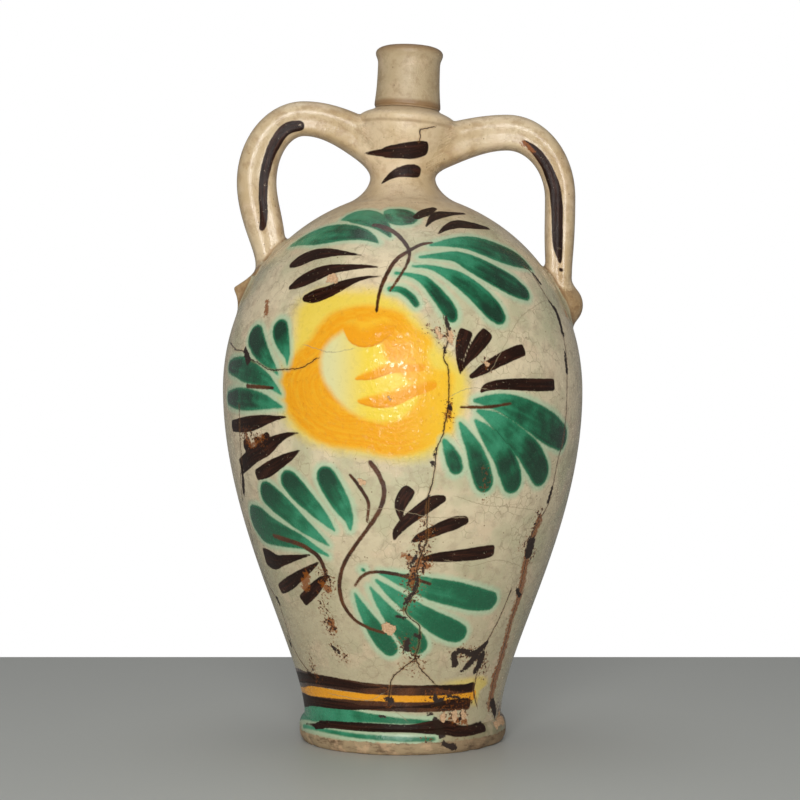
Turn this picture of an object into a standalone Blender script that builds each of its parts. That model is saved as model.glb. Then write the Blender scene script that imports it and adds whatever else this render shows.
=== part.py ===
# Two-handled jug: a tin-glazed earthenware flask with a narrow mouth.
# It is thrown and luted together from separate pieces of clay: body, foot ring,
# neck, collar, mouth tube, two handles, and the clay pressed over each handle's end.
# Metres, +Z up. The origin is the middle of the flat base. The handles lie along X,
# and the painted front faces -Y.

from math import cos, hypot, pi, radians, sin, tan

import bmesh
import bpy

# Body, heights above the base
BELLY_RADIUS = 0.1040
BELLY_HEIGHT = 0.2020
SHOULDER_RADIUS = 0.0322
SHOULDER_HEIGHT = 0.3097
ANKLE_RADIUS = 0.0568
ANKLE_HEIGHT = 0.0140
BODY_WALL = 0.0070
FLOOR_THICKNESS = 0.0090

# How far the outline runs straight before it turns in, above and below the belly
SHOULDER_FULLNESS = 0.0420
SHOULDER_SWEEP = 0.0540
SHOULDER_SLOPE = radians(21.8)
BELLY_DEPTH = 0.0800
ANKLE_SWEEP = 0.0350

# Foot ring: how far it stands out past the ankle, and how far it is let in under it
FOOT_FLARE = 0.0030
FOOT_SEAT_DEPTH = 0.0045
FOOT_ROUNDING = 0.0030

# Neck, collar and mouth tube, each height measured from the piece that carries it
WAIST_RADIUS = 0.0188
WAIST_RISE = 0.0155
NECK_TOP_RADIUS = 0.0270
NECK_RISE = 0.0443
NECK_WALL = 0.0060
NECK_OPENING_RADIUS = 0.0210
COLLAR_RADIUS = 0.0280
COLLAR_LIP = 0.0045
COLLAR_RISE = 0.0092
TUBE_RADIUS = 0.0189
TUBE_LENGTH = 0.0368
BORE_RADIUS = 0.0125
LIP_RADIUS = 0.0195
LIP_DEPTH = 0.0052
GROOVE_DEPTH = 0.0006

# The hand-made set of the mouth: its shift towards +X at the collar, its lean, and the collar's tilt
NECK_SHIFT = 0.0023
MOUTH_LEAN = radians(2.2)
COLLAR_TILT = radians(4.6)

# Left handle: the arm leaves the axis, rises to its apex, turns down at its reach
# and ends on the shoulder
LEFT_ROOT_DROP = 0.0209
LEFT_ARM_SLOPE = radians(29)
LEFT_APEX_REACH = 0.0572
LEFT_APEX_RISE = 0.0051
LEFT_REACH = 0.0847
LEFT_REACH_DROP = 0.0320
LEFT_END_DROP = 0.0355
LEFT_END_STAND = -0.0034
LEFT_ROOT_WIDTH = 0.0131
LEFT_APEX_WIDTH = 0.0100
LEFT_REACH_WIDTH = 0.0115
LEFT_END_WIDTH = 0.0088

# Right handle, which sits a little lower and reaches further out
RIGHT_ROOT_DROP = 0.0188
RIGHT_ARM_SLOPE = radians(16)
RIGHT_APEX_REACH = 0.0605
RIGHT_APEX_DROP = 0.0030
RIGHT_REACH = 0.0913
RIGHT_REACH_DROP = 0.0410
RIGHT_END_DROP = 0.0414
RIGHT_END_STAND = 0.0063
RIGHT_ROOT_WIDTH = 0.0134
RIGHT_APEX_WIDTH = 0.0103
RIGHT_REACH_WIDTH = 0.0088
RIGHT_END_WIDTH = 0.0076

# Both handles: half depths along Y, and the finger groove on the side nearer the jug
HANDLE_HALF_DEPTH = 0.0095
ROOT_HALF_DEPTH = 0.0150
END_HALF_DEPTH = 0.0100
FINGER_GROOVE = 0.0009
GROOVE_PLACE = 0.5
GROOVE_SPREAD = 0.35

# Clay over the handle ends: how far it stands out and how far down it runs
LEFT_NUB_STAND = 0.0092
LEFT_NUB_DROP = 0.0140
LEFT_NUB_LENGTH = 0.0250
LEFT_NUB_HALF_DEPTH = 0.0110
LEFT_NUB_SQUARENESS = 0.7
RIGHT_BOSS_STAND = 0.0112
RIGHT_BOSS_DROP = 0.0160
RIGHT_BOSS_LENGTH = 0.0310
RIGHT_BOSS_HALF_DEPTH = 0.0105
RIGHT_BOSS_WAIST = 0.0078

# Slip-thin gap that each luted joint keeps, and how finely the shapes are cut
JOINT_GAP = 0.0003
SEGMENTS = 44
SECTION_POINTS = 20
CURVE_STEPS = 7
QUARTER_ROUND = 0.5523
WELD = 1e-6

# Heights above the base and radii that follow from the sizes
COLLAR_SEAT = SHOULDER_HEIGHT + NECK_RISE
TUBE_SEAT = COLLAR_SEAT + COLLAR_RISE
WAIST_HEIGHT = SHOULDER_HEIGHT + WAIST_RISE
TUBE_TOP = TUBE_SEAT + TUBE_LENGTH
FOOT_SEAT_RADIUS = ANKLE_RADIUS - FOOT_SEAT_DEPTH
FOOT_RADIUS = ANKLE_RADIUS + FOOT_FLARE


# Curves

def bezier(start, start_pull, end_pull, end, steps):
    """Points of a cubic curve in a plane, its two ends included."""
    points = []
    for step in range(steps + 1):
        t = step / steps
        weights = ((1 - t) ** 3, 3 * t * (1 - t) ** 2, 3 * t * t * (1 - t), t**3)
        corners = (start, start_pull, end_pull, end)
        points.append(tuple(sum(w * c[i] for w, c in zip(weights, corners)) for i in (0, 1)))
    return points


def offset(points, distance):
    """An open outline moved sideways, to its left as it runs."""
    moved = []
    for index, (x, y) in enumerate(points):
        before = points[max(index - 1, 0)]
        after = points[min(index + 1, len(points) - 1)]
        along = (after[0] - before[0], after[1] - before[1])
        length = hypot(*along)
        moved.append((x - distance * along[1] / length, y + distance * along[0] / length))
    return moved


def eased(start, end, t):
    """A value that leaves start and reaches end smoothly."""
    return start + (end - start) * t * t * (3 - 2 * t)


# Outlines of the turned pieces, as (radius, height) from top to bottom

def shoulder_outline(steps=10):
    run = (cos(SHOULDER_SLOPE), sin(SHOULDER_SLOPE))
    return bezier(
        (SHOULDER_RADIUS, SHOULDER_HEIGHT),
        (SHOULDER_RADIUS + SHOULDER_SWEEP * run[0], SHOULDER_HEIGHT - SHOULDER_SWEEP * run[1]),
        (BELLY_RADIUS, BELLY_HEIGHT + SHOULDER_FULLNESS),
        (BELLY_RADIUS, BELLY_HEIGHT),
        steps,
    )


def lower_outline(steps=10):
    return bezier(
        (BELLY_RADIUS, BELLY_HEIGHT),
        (BELLY_RADIUS, BELLY_HEIGHT - BELLY_DEPTH),
        (ANKLE_RADIUS, ANKLE_HEIGHT + ANKLE_SWEEP),
        (ANKLE_RADIUS, ANKLE_HEIGHT),
        steps,
    )


def neck_outline():
    run = (cos(SHOULDER_SLOPE), sin(SHOULDER_SLOPE))
    flare = (SHOULDER_RADIUS - WAIST_RADIUS) / 2
    belly = (COLLAR_SEAT - WAIST_HEIGHT) / 3
    upper = bezier(
        (NECK_TOP_RADIUS, COLLAR_SEAT),
        (NECK_TOP_RADIUS, COLLAR_SEAT - belly),
        (WAIST_RADIUS, WAIST_HEIGHT + belly),
        (WAIST_RADIUS, WAIST_HEIGHT),
        6,
    )
    lower = bezier(
        (WAIST_RADIUS, WAIST_HEIGHT),
        (WAIST_RADIUS, WAIST_HEIGHT - flare),
        (SHOULDER_RADIUS - flare * run[0], SHOULDER_HEIGHT + JOINT_GAP + flare * run[1]),
        (SHOULDER_RADIUS - JOINT_GAP, SHOULDER_HEIGHT + JOINT_GAP),
        6,
    )
    return upper + lower[1:]


def collar_outline():
    """The cone from the tube's foot out to the collar's rounded edge."""
    edge = COLLAR_SEAT + COLLAR_LIP
    cone = bezier(
        (TUBE_RADIUS + GROOVE_DEPTH, TUBE_SEAT),
        (TUBE_RADIUS + COLLAR_LIP / 2, TUBE_SEAT - COLLAR_LIP / 4),
        (COLLAR_RADIUS - COLLAR_LIP / 5, edge + COLLAR_LIP / 2),
        (COLLAR_RADIUS, edge - COLLAR_LIP / 8),
        5,
    )
    foot = (COLLAR_RADIUS - COLLAR_LIP / 5, COLLAR_SEAT + JOINT_GAP)
    return cone + [foot]


def tube_outline():
    """The outside of the mouth tube, from inside its lip down to its foot."""
    lip_edge = TUBE_TOP - LIP_DEPTH / 2
    wall = LIP_RADIUS - BORE_RADIUS
    waist = TUBE_RADIUS - 1.5 * GROOVE_DEPTH
    roll = bezier(
        (BORE_RADIUS + wall / 4, TUBE_TOP),
        (LIP_RADIUS - wall / 3, TUBE_TOP),
        (LIP_RADIUS, TUBE_TOP - LIP_DEPTH / 5),
        (LIP_RADIUS, lip_edge),
        4,
    )
    side = bezier(
        (LIP_RADIUS, lip_edge),
        (LIP_RADIUS, TUBE_TOP - LIP_DEPTH),
        (waist, TUBE_TOP - LIP_DEPTH),
        (waist, TUBE_TOP - 2 * LIP_DEPTH),
        4,
    )
    foot = [
        (TUBE_RADIUS + GROOVE_DEPTH / 2, TUBE_SEAT + 4 * GROOVE_DEPTH),
        (TUBE_RADIUS - GROOVE_DEPTH, TUBE_SEAT + 2 * GROOVE_DEPTH),
        (TUBE_RADIUS - GROOVE_DEPTH, TUBE_SEAT + JOINT_GAP),
    ]
    return roll + side[1:] + foot


def body_radius(height):
    """The radius of the shoulder's outside at a height between belly and neck."""
    outline = shoulder_outline(64)
    for (upper_r, upper_z), (lower_r, lower_z) in zip(outline, outline[1:]):
        if lower_z <= height <= upper_z:
            share = (height - lower_z) / (upper_z - lower_z)
            return lower_r + share * (upper_r - lower_r)
    return BELLY_RADIUS if height < BELLY_HEIGHT else SHOULDER_RADIUS


# The lean of neck, collar and mouth

def leaned(point):
    """Moves a point of the upright jug to where the leaning mouth carries it."""
    x, y, z = point
    rise = max(z - WAIST_HEIGHT, 0)
    bend = COLLAR_SEAT - WAIST_HEIGHT
    shift = eased(0, NECK_SHIFT, min(rise / bend, 1)) + tan(MOUTH_LEAN) * max(rise - bend, 0)
    if rise <= bend:
        tilt = eased(0, COLLAR_TILT, rise / bend)
    else:
        share = (z - COLLAR_SEAT) / (COLLAR_RISE + TUBE_LENGTH)
        tilt = COLLAR_TILT + (MOUTH_LEAN - COLLAR_TILT) * min(share, 1)
    return (x * cos(tilt) + shift, y, z - x * sin(tilt))


# Meshes

def glazed_clay(name, colour, roughness=0.25):
    material = bpy.data.materials.new(name)
    material.use_nodes = True
    shader = material.node_tree.nodes["Principled BSDF"]
    shader.inputs["Base Color"].default_value = (*colour, 1)
    shader.inputs["Roughness"].default_value = roughness
    shader.inputs["Metallic"].default_value = 0
    return material


def object_from(name, mesh, material):
    """Makes the object and shades its round faces smooth."""
    bmesh.ops.recalc_face_normals(mesh, faces=mesh.faces)
    data = bpy.data.meshes.new(name)
    mesh.to_mesh(data)
    mesh.free()
    data.shade_smooth()
    data.set_sharp_from_angle(angle=radians(35))
    obj = bpy.data.objects.new(name, data)
    if material:
        data.materials.append(material)
    bpy.context.scene.collection.objects.link(obj)
    return obj


def turned(name, outline, material, ring=True):
    """Spins an outline about the axis. A ring's outline is closed; any other ends on the axis."""
    mesh = bmesh.new()
    points = [mesh.verts.new((radius, 0, height)) for radius, height in outline]
    edges = [mesh.edges.new(pair) for pair in zip(points, points[1:])]
    if ring:
        edges.append(mesh.edges.new((points[-1], points[0])))
    bmesh.ops.spin(
        mesh, geom=points + edges, cent=(0, 0, 0), axis=(0, 0, 1), angle=2 * pi, steps=SEGMENTS
    )
    bmesh.ops.remove_doubles(mesh, verts=mesh.verts, dist=WELD)
    for point in mesh.verts:
        point.co = leaned(point.co)
    return object_from(name, mesh, material)


def swept(name, stations, shape, material):
    """Joins one closed section for each station, and closes both ends."""
    mesh = bmesh.new()
    rings = []
    for station in stations:
        rings.append([mesh.verts.new(point) for point in shape(*station)])
    for ring, following in zip(rings, rings[1:]):
        for index in range(len(ring)):
            ahead = (index + 1) % len(ring)
            mesh.faces.new((ring[index], ring[ahead], following[ahead], following[index]))
    mesh.faces.new(rings[0])
    mesh.faces.new(rings[-1])
    return object_from(name, mesh, material)


def cut_by(obj, cutter):
    """Fits a piece of clay against the wall that it is pressed on."""
    fit = obj.modifiers.new("seat", "BOOLEAN")
    fit.operation = "DIFFERENCE"
    fit.object = cutter
    return obj


# Turned pieces

def make_body(material):
    outside = shoulder_outline() + lower_outline()[1:]
    inner_run = offset(outside, -BODY_WALL)
    inside = [point for point in inner_run if point[1] > FLOOR_THICKNESS + BODY_WALL]
    inside[0] = (NECK_OPENING_RADIUS, SHOULDER_HEIGHT)
    floor_edge = inside[-1][0]
    outline = [
        (0, FLOOR_THICKNESS),
        (floor_edge - BODY_WALL, FLOOR_THICKNESS),
        (floor_edge - BODY_WALL / 3, FLOOR_THICKNESS + BODY_WALL / 3),
        *reversed(inside),
        *outside,
        (FOOT_SEAT_RADIUS, ANKLE_HEIGHT),
        (FOOT_SEAT_RADIUS, 0),
        (0, 0),
    ]
    return turned("body", outline, material, ring=False)


def make_foot_ring(material):
    seat_radius = FOOT_SEAT_RADIUS + JOINT_GAP
    top = ANKLE_HEIGHT - JOINT_GAP
    outer = bezier(
        (ANKLE_RADIUS, top),
        (FOOT_RADIUS - FOOT_ROUNDING / 3, top),
        (FOOT_RADIUS, top - FOOT_ROUNDING),
        (FOOT_RADIUS, top - 2 * FOOT_ROUNDING),
        4,
    )
    outline = [
        *outer,
        (FOOT_RADIUS, FOOT_ROUNDING),
        (FOOT_RADIUS - FOOT_ROUNDING / 3, FOOT_ROUNDING / 3),
        (FOOT_RADIUS - 1.2 * FOOT_ROUNDING, 0),
        (seat_radius, 0),
        (seat_radius, top),
    ]
    return turned("foot_ring", outline, material)


def make_neck(material):
    outside = neck_outline()
    lowest = outside[-1][1]
    inner_run = [point for point in offset(outside, -NECK_WALL) if point[1] > lowest + NECK_WALL / 3]
    inner_run[0] = (NECK_TOP_RADIUS - NECK_WALL, COLLAR_SEAT)
    inside = [(NECK_OPENING_RADIUS, lowest), *reversed(inner_run)]
    return turned("neck", outside + inside, material)


def make_collar(material):
    outside = collar_outline()
    seat_bore = NECK_TOP_RADIUS - NECK_WALL
    inside = [(seat_bore, COLLAR_SEAT + JOINT_GAP), (BORE_RADIUS, TUBE_SEAT)]
    return turned("collar", outside + inside, material)


def make_mouth_tube(material):
    outside = tube_outline()
    wall = LIP_RADIUS - BORE_RADIUS
    inside = [
        (BORE_RADIUS, TUBE_SEAT + JOINT_GAP),
        (BORE_RADIUS, TUBE_TOP - LIP_DEPTH / 3),
        (BORE_RADIUS + wall / 12, TUBE_TOP - LIP_DEPTH / 12),
    ]
    return turned("mouth_tube", outside + inside, material)


def make_wall_cutter():
    """The outside of body, neck and collar as one solid, larger by the joint gap."""
    wall = collar_outline() + neck_outline() + shoulder_outline()[1:]
    floor = (BELLY_RADIUS + JOINT_GAP, BELLY_HEIGHT)
    outline = [
        (0, TUBE_SEAT + JOINT_GAP),
        *offset(wall, JOINT_GAP)[:-1],
        floor,
        (0, BELLY_HEIGHT),
    ]
    cutter = turned("wall_cutter", outline, None, ring=False)
    cutter.hide_render = True
    cutter.display_type = "WIRE"
    return cutter


# Handles

def handle_section(centre, outward, half_width, half_depth):
    """A rounded section with a finger groove on its front and back faces."""
    points = []
    for index in range(SECTION_POINTS):
        angle = 2 * pi * (index + 0.5) / SECTION_POINTS
        wide = cos(angle) * half_width
        groove = FINGER_GROOVE * max(0, 1 - abs(cos(angle) + GROOVE_PLACE) / GROOVE_SPREAD)
        deep = sin(angle) * (half_depth - groove)
        points.append((centre[0] + outward[0] * wide, deep, centre[1] + outward[1] * wide))
    return points


def handle_stations(side, root, slope, apex, reach, end, widths):
    """Sections along three curves: up the arm, round the turn and down to the shoulder."""
    arm = hypot(apex[0] - root[0], apex[1] - root[1]) / 3
    drop = (reach[1] - end[1]) / 3
    curves = (
        (root, (root[0] + arm * cos(slope), root[1] + arm * sin(slope)), (apex[0] - arm, apex[1]), apex),
        (
            apex,
            (apex[0] + QUARTER_ROUND * (reach[0] - apex[0]), apex[1]),
            (reach[0], reach[1] + QUARTER_ROUND * (apex[1] - reach[1])),
            reach,
        ),
        (reach, (reach[0], reach[1] - drop), (end[0], end[1] + drop), end),
    )
    depths = (ROOT_HALF_DEPTH, HANDLE_HALF_DEPTH, HANDLE_HALF_DEPTH, END_HALF_DEPTH)
    stations = []
    for part, curve in enumerate(curves):
        points = bezier(*curve, CURVE_STEPS)
        path = points if part == 0 else points[1:]
        for step, point in enumerate(path, start=0 if part == 0 else 1):
            # The end pull gives a curve's true direction where it ends
            near = curve[2] if step == CURVE_STEPS else points[max(step - 1, 0)]
            far = points[min(step + 1, CURVE_STEPS)]
            length = hypot(far[0] - near[0], far[1] - near[1])
            outward = (side * (near[1] - far[1]) / length, (far[0] - near[0]) / length)
            t = step / CURVE_STEPS
            width = eased(widths[part], widths[part + 1], t * t if curve is curves[-1] else t)
            depth = eased(depths[part], depths[part + 1], t)
            stations.append(((side * point[0], point[1]), outward, width, depth))
    return stations


def make_left_handle(cutter, material):
    end_height = SHOULDER_HEIGHT - LEFT_END_DROP
    stations = handle_stations(
        -1,
        root=(0, COLLAR_SEAT - LEFT_ROOT_DROP),
        slope=LEFT_ARM_SLOPE,
        apex=(LEFT_APEX_REACH, COLLAR_SEAT + LEFT_APEX_RISE),
        reach=(LEFT_REACH, COLLAR_SEAT - LEFT_REACH_DROP),
        end=(body_radius(end_height) + LEFT_END_STAND, end_height),
        widths=(LEFT_ROOT_WIDTH, LEFT_APEX_WIDTH, LEFT_REACH_WIDTH, LEFT_END_WIDTH),
    )
    return cut_by(swept("left_handle", stations, handle_section, material), cutter)


def make_right_handle(cutter, material):
    end_height = SHOULDER_HEIGHT - RIGHT_END_DROP
    stations = handle_stations(
        1,
        root=(0, COLLAR_SEAT - RIGHT_ROOT_DROP),
        slope=RIGHT_ARM_SLOPE,
        apex=(RIGHT_APEX_REACH, COLLAR_SEAT - RIGHT_APEX_DROP),
        reach=(RIGHT_REACH, COLLAR_SEAT - RIGHT_REACH_DROP),
        end=(body_radius(end_height) + RIGHT_END_STAND, end_height),
        widths=(RIGHT_ROOT_WIDTH, RIGHT_APEX_WIDTH, RIGHT_REACH_WIDTH, RIGHT_END_WIDTH),
    )
    return cut_by(swept("right_handle", stations, handle_section, material), cutter)


# Clay over the handle ends

def pad_section(centre, stand, half_depth, squareness):
    """A level section round a point of the wall. Only its outer half shows."""
    points = []
    for index in range(SECTION_POINTS):
        angle = 2 * pi * index / SECTION_POINTS
        reach = abs(cos(angle)) ** squareness * stand * (1 if cos(angle) > 0 else -1)
        deep = abs(sin(angle)) ** squareness * half_depth * (1 if sin(angle) > 0 else -1)
        outward = 1 if centre[0] > 0 else -1
        points.append((centre[0] + outward * reach, deep, centre[1]))
    return points


def make_left_nub(cutter, material):
    """A pinched wedge: it narrows under the handle, then flares to a cut end."""
    top = SHOULDER_HEIGHT - LEFT_END_DROP - JOINT_GAP
    top_stand = LEFT_END_WIDTH + LEFT_END_STAND
    # Each row: how far down, how far out, and the share of the half depth
    shape = (
        (0, top_stand, 0.85),
        (0.25 * LEFT_NUB_DROP, 0.80 * top_stand, 0.80),
        (0.50 * LEFT_NUB_DROP, 0.94 * top_stand, 0.85),
        (0.75 * LEFT_NUB_DROP, 0.78 * LEFT_NUB_STAND, 0.93),
        (LEFT_NUB_DROP, LEFT_NUB_STAND, 1),
        (LEFT_NUB_LENGTH, JOINT_GAP, 0.70),
    )
    stations = []
    for drop, stand, share in shape:
        centre = (-body_radius(top - drop), top - drop)
        stations.append((centre, stand, share * LEFT_NUB_HALF_DEPTH, LEFT_NUB_SQUARENESS))
    return cut_by(swept("left_handle_nub", stations, pad_section, material), cutter)


def make_right_boss(cutter, material):
    """A rounded boss that swells below the handle's end."""
    top = SHOULDER_HEIGHT - RIGHT_END_DROP - JOINT_GAP
    top_stand = RIGHT_END_WIDTH + RIGHT_END_STAND
    stations = []
    for step in range(9):
        drop = RIGHT_BOSS_LENGTH * step / 8
        if drop < RIGHT_BOSS_DROP:
            share = drop / RIGHT_BOSS_DROP
            waist = top_stand - (top_stand - RIGHT_BOSS_WAIST) * sin(pi * share / 2)
            stand = eased(waist, RIGHT_BOSS_STAND, share)
            depth = eased(END_HALF_DEPTH, RIGHT_BOSS_HALF_DEPTH, share)
        else:
            share = (drop - RIGHT_BOSS_DROP) / (RIGHT_BOSS_LENGTH - RIGHT_BOSS_DROP)
            stand = JOINT_GAP + RIGHT_BOSS_STAND * cos(pi * share / 2)
            depth = RIGHT_BOSS_HALF_DEPTH * (1 + 3 * cos(pi * share / 2)) / 4
        height = top - drop
        stations.append(((body_radius(height), height), stand, depth, 1))
    return cut_by(swept("right_handle_boss", stations, pad_section, material), cutter)


def main():
    for obj in list(bpy.data.objects):
        bpy.data.objects.remove(obj, do_unlink=True)
    cream = glazed_clay("cream tin glaze", (0.56, 0.48, 0.34))
    worn = glazed_clay("worn tin glaze", (0.50, 0.40, 0.26), 0.35)
    bare = glazed_clay("bare foot clay", (0.42, 0.30, 0.19), 0.7)
    make_body(cream)
    make_foot_ring(bare)
    make_neck(cream)
    make_collar(worn)
    make_mouth_tube(cream)
    cutter = make_wall_cutter()
    make_left_handle(cutter, cream)
    make_right_handle(cutter, cream)
    make_left_nub(cutter, worn)
    make_right_boss(cutter, worn)


main()
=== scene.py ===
# Two-handled jug in tin-glazed earthenware, brush-painted in green, brown-black and yellow.
# Each piece of clay keeps the place of its CAD node. The pieces share one skin, so that the
# luted joints run into each other, and the painting is laid on that skin.
import math
from functools import partial
import bpy
import bmesh
import numpy as np
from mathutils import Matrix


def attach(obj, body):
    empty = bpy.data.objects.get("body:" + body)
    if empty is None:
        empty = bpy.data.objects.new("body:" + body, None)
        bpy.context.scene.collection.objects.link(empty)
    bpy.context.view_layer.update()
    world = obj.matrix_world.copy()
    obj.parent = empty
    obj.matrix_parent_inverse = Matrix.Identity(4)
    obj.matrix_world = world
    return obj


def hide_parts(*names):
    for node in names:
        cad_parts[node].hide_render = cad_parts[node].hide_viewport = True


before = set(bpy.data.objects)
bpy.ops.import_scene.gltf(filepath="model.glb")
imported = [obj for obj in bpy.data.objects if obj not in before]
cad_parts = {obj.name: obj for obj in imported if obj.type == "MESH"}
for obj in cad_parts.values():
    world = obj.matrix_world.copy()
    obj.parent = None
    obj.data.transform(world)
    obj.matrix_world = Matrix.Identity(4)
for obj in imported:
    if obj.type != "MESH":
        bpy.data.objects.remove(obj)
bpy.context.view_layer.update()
print("scene: frame loaded")

# Camera: level, at half the jug's height. The small shift is the photo's framing.
camera = {"place": (0, -1160, 200), "lens": 90, "sensor": 36, "shift": (-2.7, -7), "frame": 800}

cameraData = bpy.data.cameras.new("camera")
cameraData.lens = camera["lens"]
cameraData.sensor_width = camera["sensor"]
cameraData.shift_x = camera["shift"][0] / camera["frame"]
cameraData.shift_y = camera["shift"][1] / camera["frame"]
cameraObject = bpy.data.objects.new("camera", cameraData)
cameraObject.location = [value / 1000 for value in camera["place"]]
cameraObject.rotation_euler = (math.pi / 2, 0, 0)
bpy.context.scene.collection.objects.link(cameraObject)
bpy.context.scene.camera = cameraObject


# Curves and easing

def curvePoints(start, startPull, endPull, end, steps):
    t = np.linspace(0, 1, steps + 1)[:, None]
    corners = [np.array(corner, float) for corner in (start, startPull, endPull, end)]
    shares = ((1 - t) ** 3, 3 * t * (1 - t) ** 2, 3 * t * t * (1 - t), t**3)
    return shares[0] * corners[0] + shares[1] * corners[1] + shares[2] * corners[2] + shares[3] * corners[3]


def eased(value, low, high):
    t = np.clip((np.asarray(value, float) - low) / (high - low), 0, 1)
    return t * t * (3 - 2 * t)


def evenly(points, step):
    lengths = np.concatenate([[0], np.cumsum(np.linalg.norm(np.diff(points, axis=0), axis=1))])
    wanted = np.linspace(0, lengths[-1], max(int(round(lengths[-1] / step)), 1) + 1)
    return np.stack([np.interp(wanted, lengths, column) for column in points.T], axis=1)


# Outlines of the turned clay in mm, as (radius, height) from top to bottom, in the packed
# pieces' sizes. Each piece has its sizes above its outline.

body = {
    "bellyRadius": 104.0, "bellyHeight": 202.0, "shoulderRadius": 32.2, "shoulderHeight": 309.7,
    "ankleRadius": 56.8, "ankleHeight": 14.0, "wall": 7.0, "floor": 9.0,
    "fullness": 42.0, "sweep": 54.0, "slope": 21.8, "depth": 80.0, "ankleSweep": 35.0,
    "frontStep": 1.07, "backStep": 6.0, "frontAngle": 68, "innerColumns": 72, "wobble": 0.35,
}
slopeRun = np.array([math.cos(math.radians(body["slope"])), math.sin(math.radians(body["slope"]))])


def shoulderOutline(steps=80):
    pull = body["sweep"] * slopeRun
    return curvePoints(
        (body["shoulderRadius"], body["shoulderHeight"]),
        (body["shoulderRadius"] + pull[0], body["shoulderHeight"] - pull[1]),
        (body["bellyRadius"], body["bellyHeight"] + body["fullness"]),
        (body["bellyRadius"], body["bellyHeight"]), steps)


def lowerOutline(steps=80):
    return curvePoints(
        (body["bellyRadius"], body["bellyHeight"]),
        (body["bellyRadius"], body["bellyHeight"] - body["depth"]),
        (body["ankleRadius"], body["ankleHeight"] + body["ankleSweep"]),
        (body["ankleRadius"], body["ankleHeight"]), steps)


neck = {
    "waistRadius": 18.8, "waistRise": 15.5, "topRadius": 27.0, "rise": 44.3, "wall": 6.0,
    "opening": 21.0, "shift": 2.3, "tilt": 4.6,
}
collarSeat = body["shoulderHeight"] + neck["rise"]
waistHeight = body["shoulderHeight"] + neck["waistRise"]


def neckOutline(steps=40):
    flare = (body["shoulderRadius"] - neck["waistRadius"]) / 2
    belly = (collarSeat - waistHeight) / 3
    upper = curvePoints(
        (neck["topRadius"], collarSeat), (neck["topRadius"], collarSeat - belly),
        (neck["waistRadius"], waistHeight + belly), (neck["waistRadius"], waistHeight), steps)
    lower = curvePoints(
        (neck["waistRadius"], waistHeight), (neck["waistRadius"], waistHeight - flare),
        (body["shoulderRadius"] - flare * slopeRun[0], body["shoulderHeight"] + flare * slopeRun[1]),
        (body["shoulderRadius"], body["shoulderHeight"]), steps)
    return np.concatenate([upper, lower[1:]])


collar = {"radius": 28.0, "lip": 4.5, "rise": 9.2}
tubeSeat = collarSeat + collar["rise"]


def collarOutline(steps=16):
    edge = collarSeat + collar["lip"]
    tube = mouthTube["radius"]
    cone = curvePoints(
        (tube + mouthTube["groove"], tubeSeat),
        (tube + collar["lip"] / 2, tubeSeat - collar["lip"] / 4),
        (collar["radius"] - collar["lip"] / 5, edge + collar["lip"] / 2),
        (collar["radius"], edge - collar["lip"] / 8), steps)
    under = curvePoints(
        (collar["radius"], edge - collar["lip"] / 8),
        (collar["radius"] + 0.1, edge - collar["lip"] / 2),
        (neck["topRadius"] + 0.5, collarSeat + 1.2), (neck["topRadius"], collarSeat), 8)
    return np.concatenate([cone, under[1:]])


mouthTube = {
    "radius": 18.9, "length": 36.8, "bore": 12.5, "lipRadius": 19.5, "lipDepth": 5.2,
    "groove": 0.6, "lean": 2.2,
}
tubeTop = tubeSeat + mouthTube["length"]


def tubeOutline(steps=12):
    lip, lipDepth = mouthTube["lipRadius"], mouthTube["lipDepth"]
    lipEdge = tubeTop - lipDepth * 0.7
    wall = lip - mouthTube["bore"]
    groove = mouthTube["groove"]
    waist = mouthTube["radius"] - 1.5 * groove
    swell = mouthTube["radius"] + groove / 2
    roll = curvePoints(
        (mouthTube["bore"] + wall / 4, tubeTop), (lip - wall / 2, tubeTop),
        (lip, tubeTop - lipDepth / 4), (lip, lipEdge), steps)
    side = curvePoints(
        (lip, lipEdge), (lip, lipEdge - lipDepth / 2),
        (waist, lipEdge - lipDepth / 2), (waist, tubeTop - 2 * lipDepth), steps)
    low = curvePoints(
        (waist, tubeTop - 2 * lipDepth), (waist, tubeSeat + 9),
        (swell, tubeSeat + 6), (swell, tubeSeat + 4 * groove), 6)
    ring = np.array([
        (mouthTube["radius"] - groove, tubeSeat + 2 * groove), (mouthTube["radius"] + groove, tubeSeat)])
    return np.concatenate([roll, side[1:], low[1:], ring])


outline = np.concatenate([
    tubeOutline(), collarOutline()[1:], neckOutline()[1:], shoulderOutline()[1:], lowerOutline()[1:]])
fineHeights = np.linspace(body["ankleHeight"], tubeTop, 3001)
fineRadii = np.interp(fineHeights, outline[::-1, 1], outline[::-1, 0])
fineSlopes = np.gradient(fineRadii, fineHeights)


# The lean of neck, collar and mouth

def leanAt(heights):
    bend = eased(heights, waistHeight, collarSeat)
    above = np.maximum(heights - collarSeat, 0)
    shift = neck["shift"] * bend + math.tan(math.radians(mouthTube["lean"])) * above
    share = np.minimum(above / (tubeTop - collarSeat), 1)
    return shift, np.radians(neck["tilt"] * bend + (mouthTube["lean"] - neck["tilt"]) * share)


def leaned(points):
    shift, tilt = leanAt(points[:, 2])
    x, y, z = points.T
    return np.stack([x * np.cos(tilt) + shift, y, z - x * np.sin(tilt)], axis=1)


def unleaned(points):
    upright = points.copy()
    for turn in range(3):
        shift, tilt = leanAt(upright[:, 2])
        upright[:, 0] = (points[:, 0] - shift) / np.cos(tilt)
        upright[:, 2] = points[:, 2] + upright[:, 0] * np.sin(tilt)
    return upright


# Distances to the clay in mm, negative inside

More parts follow.
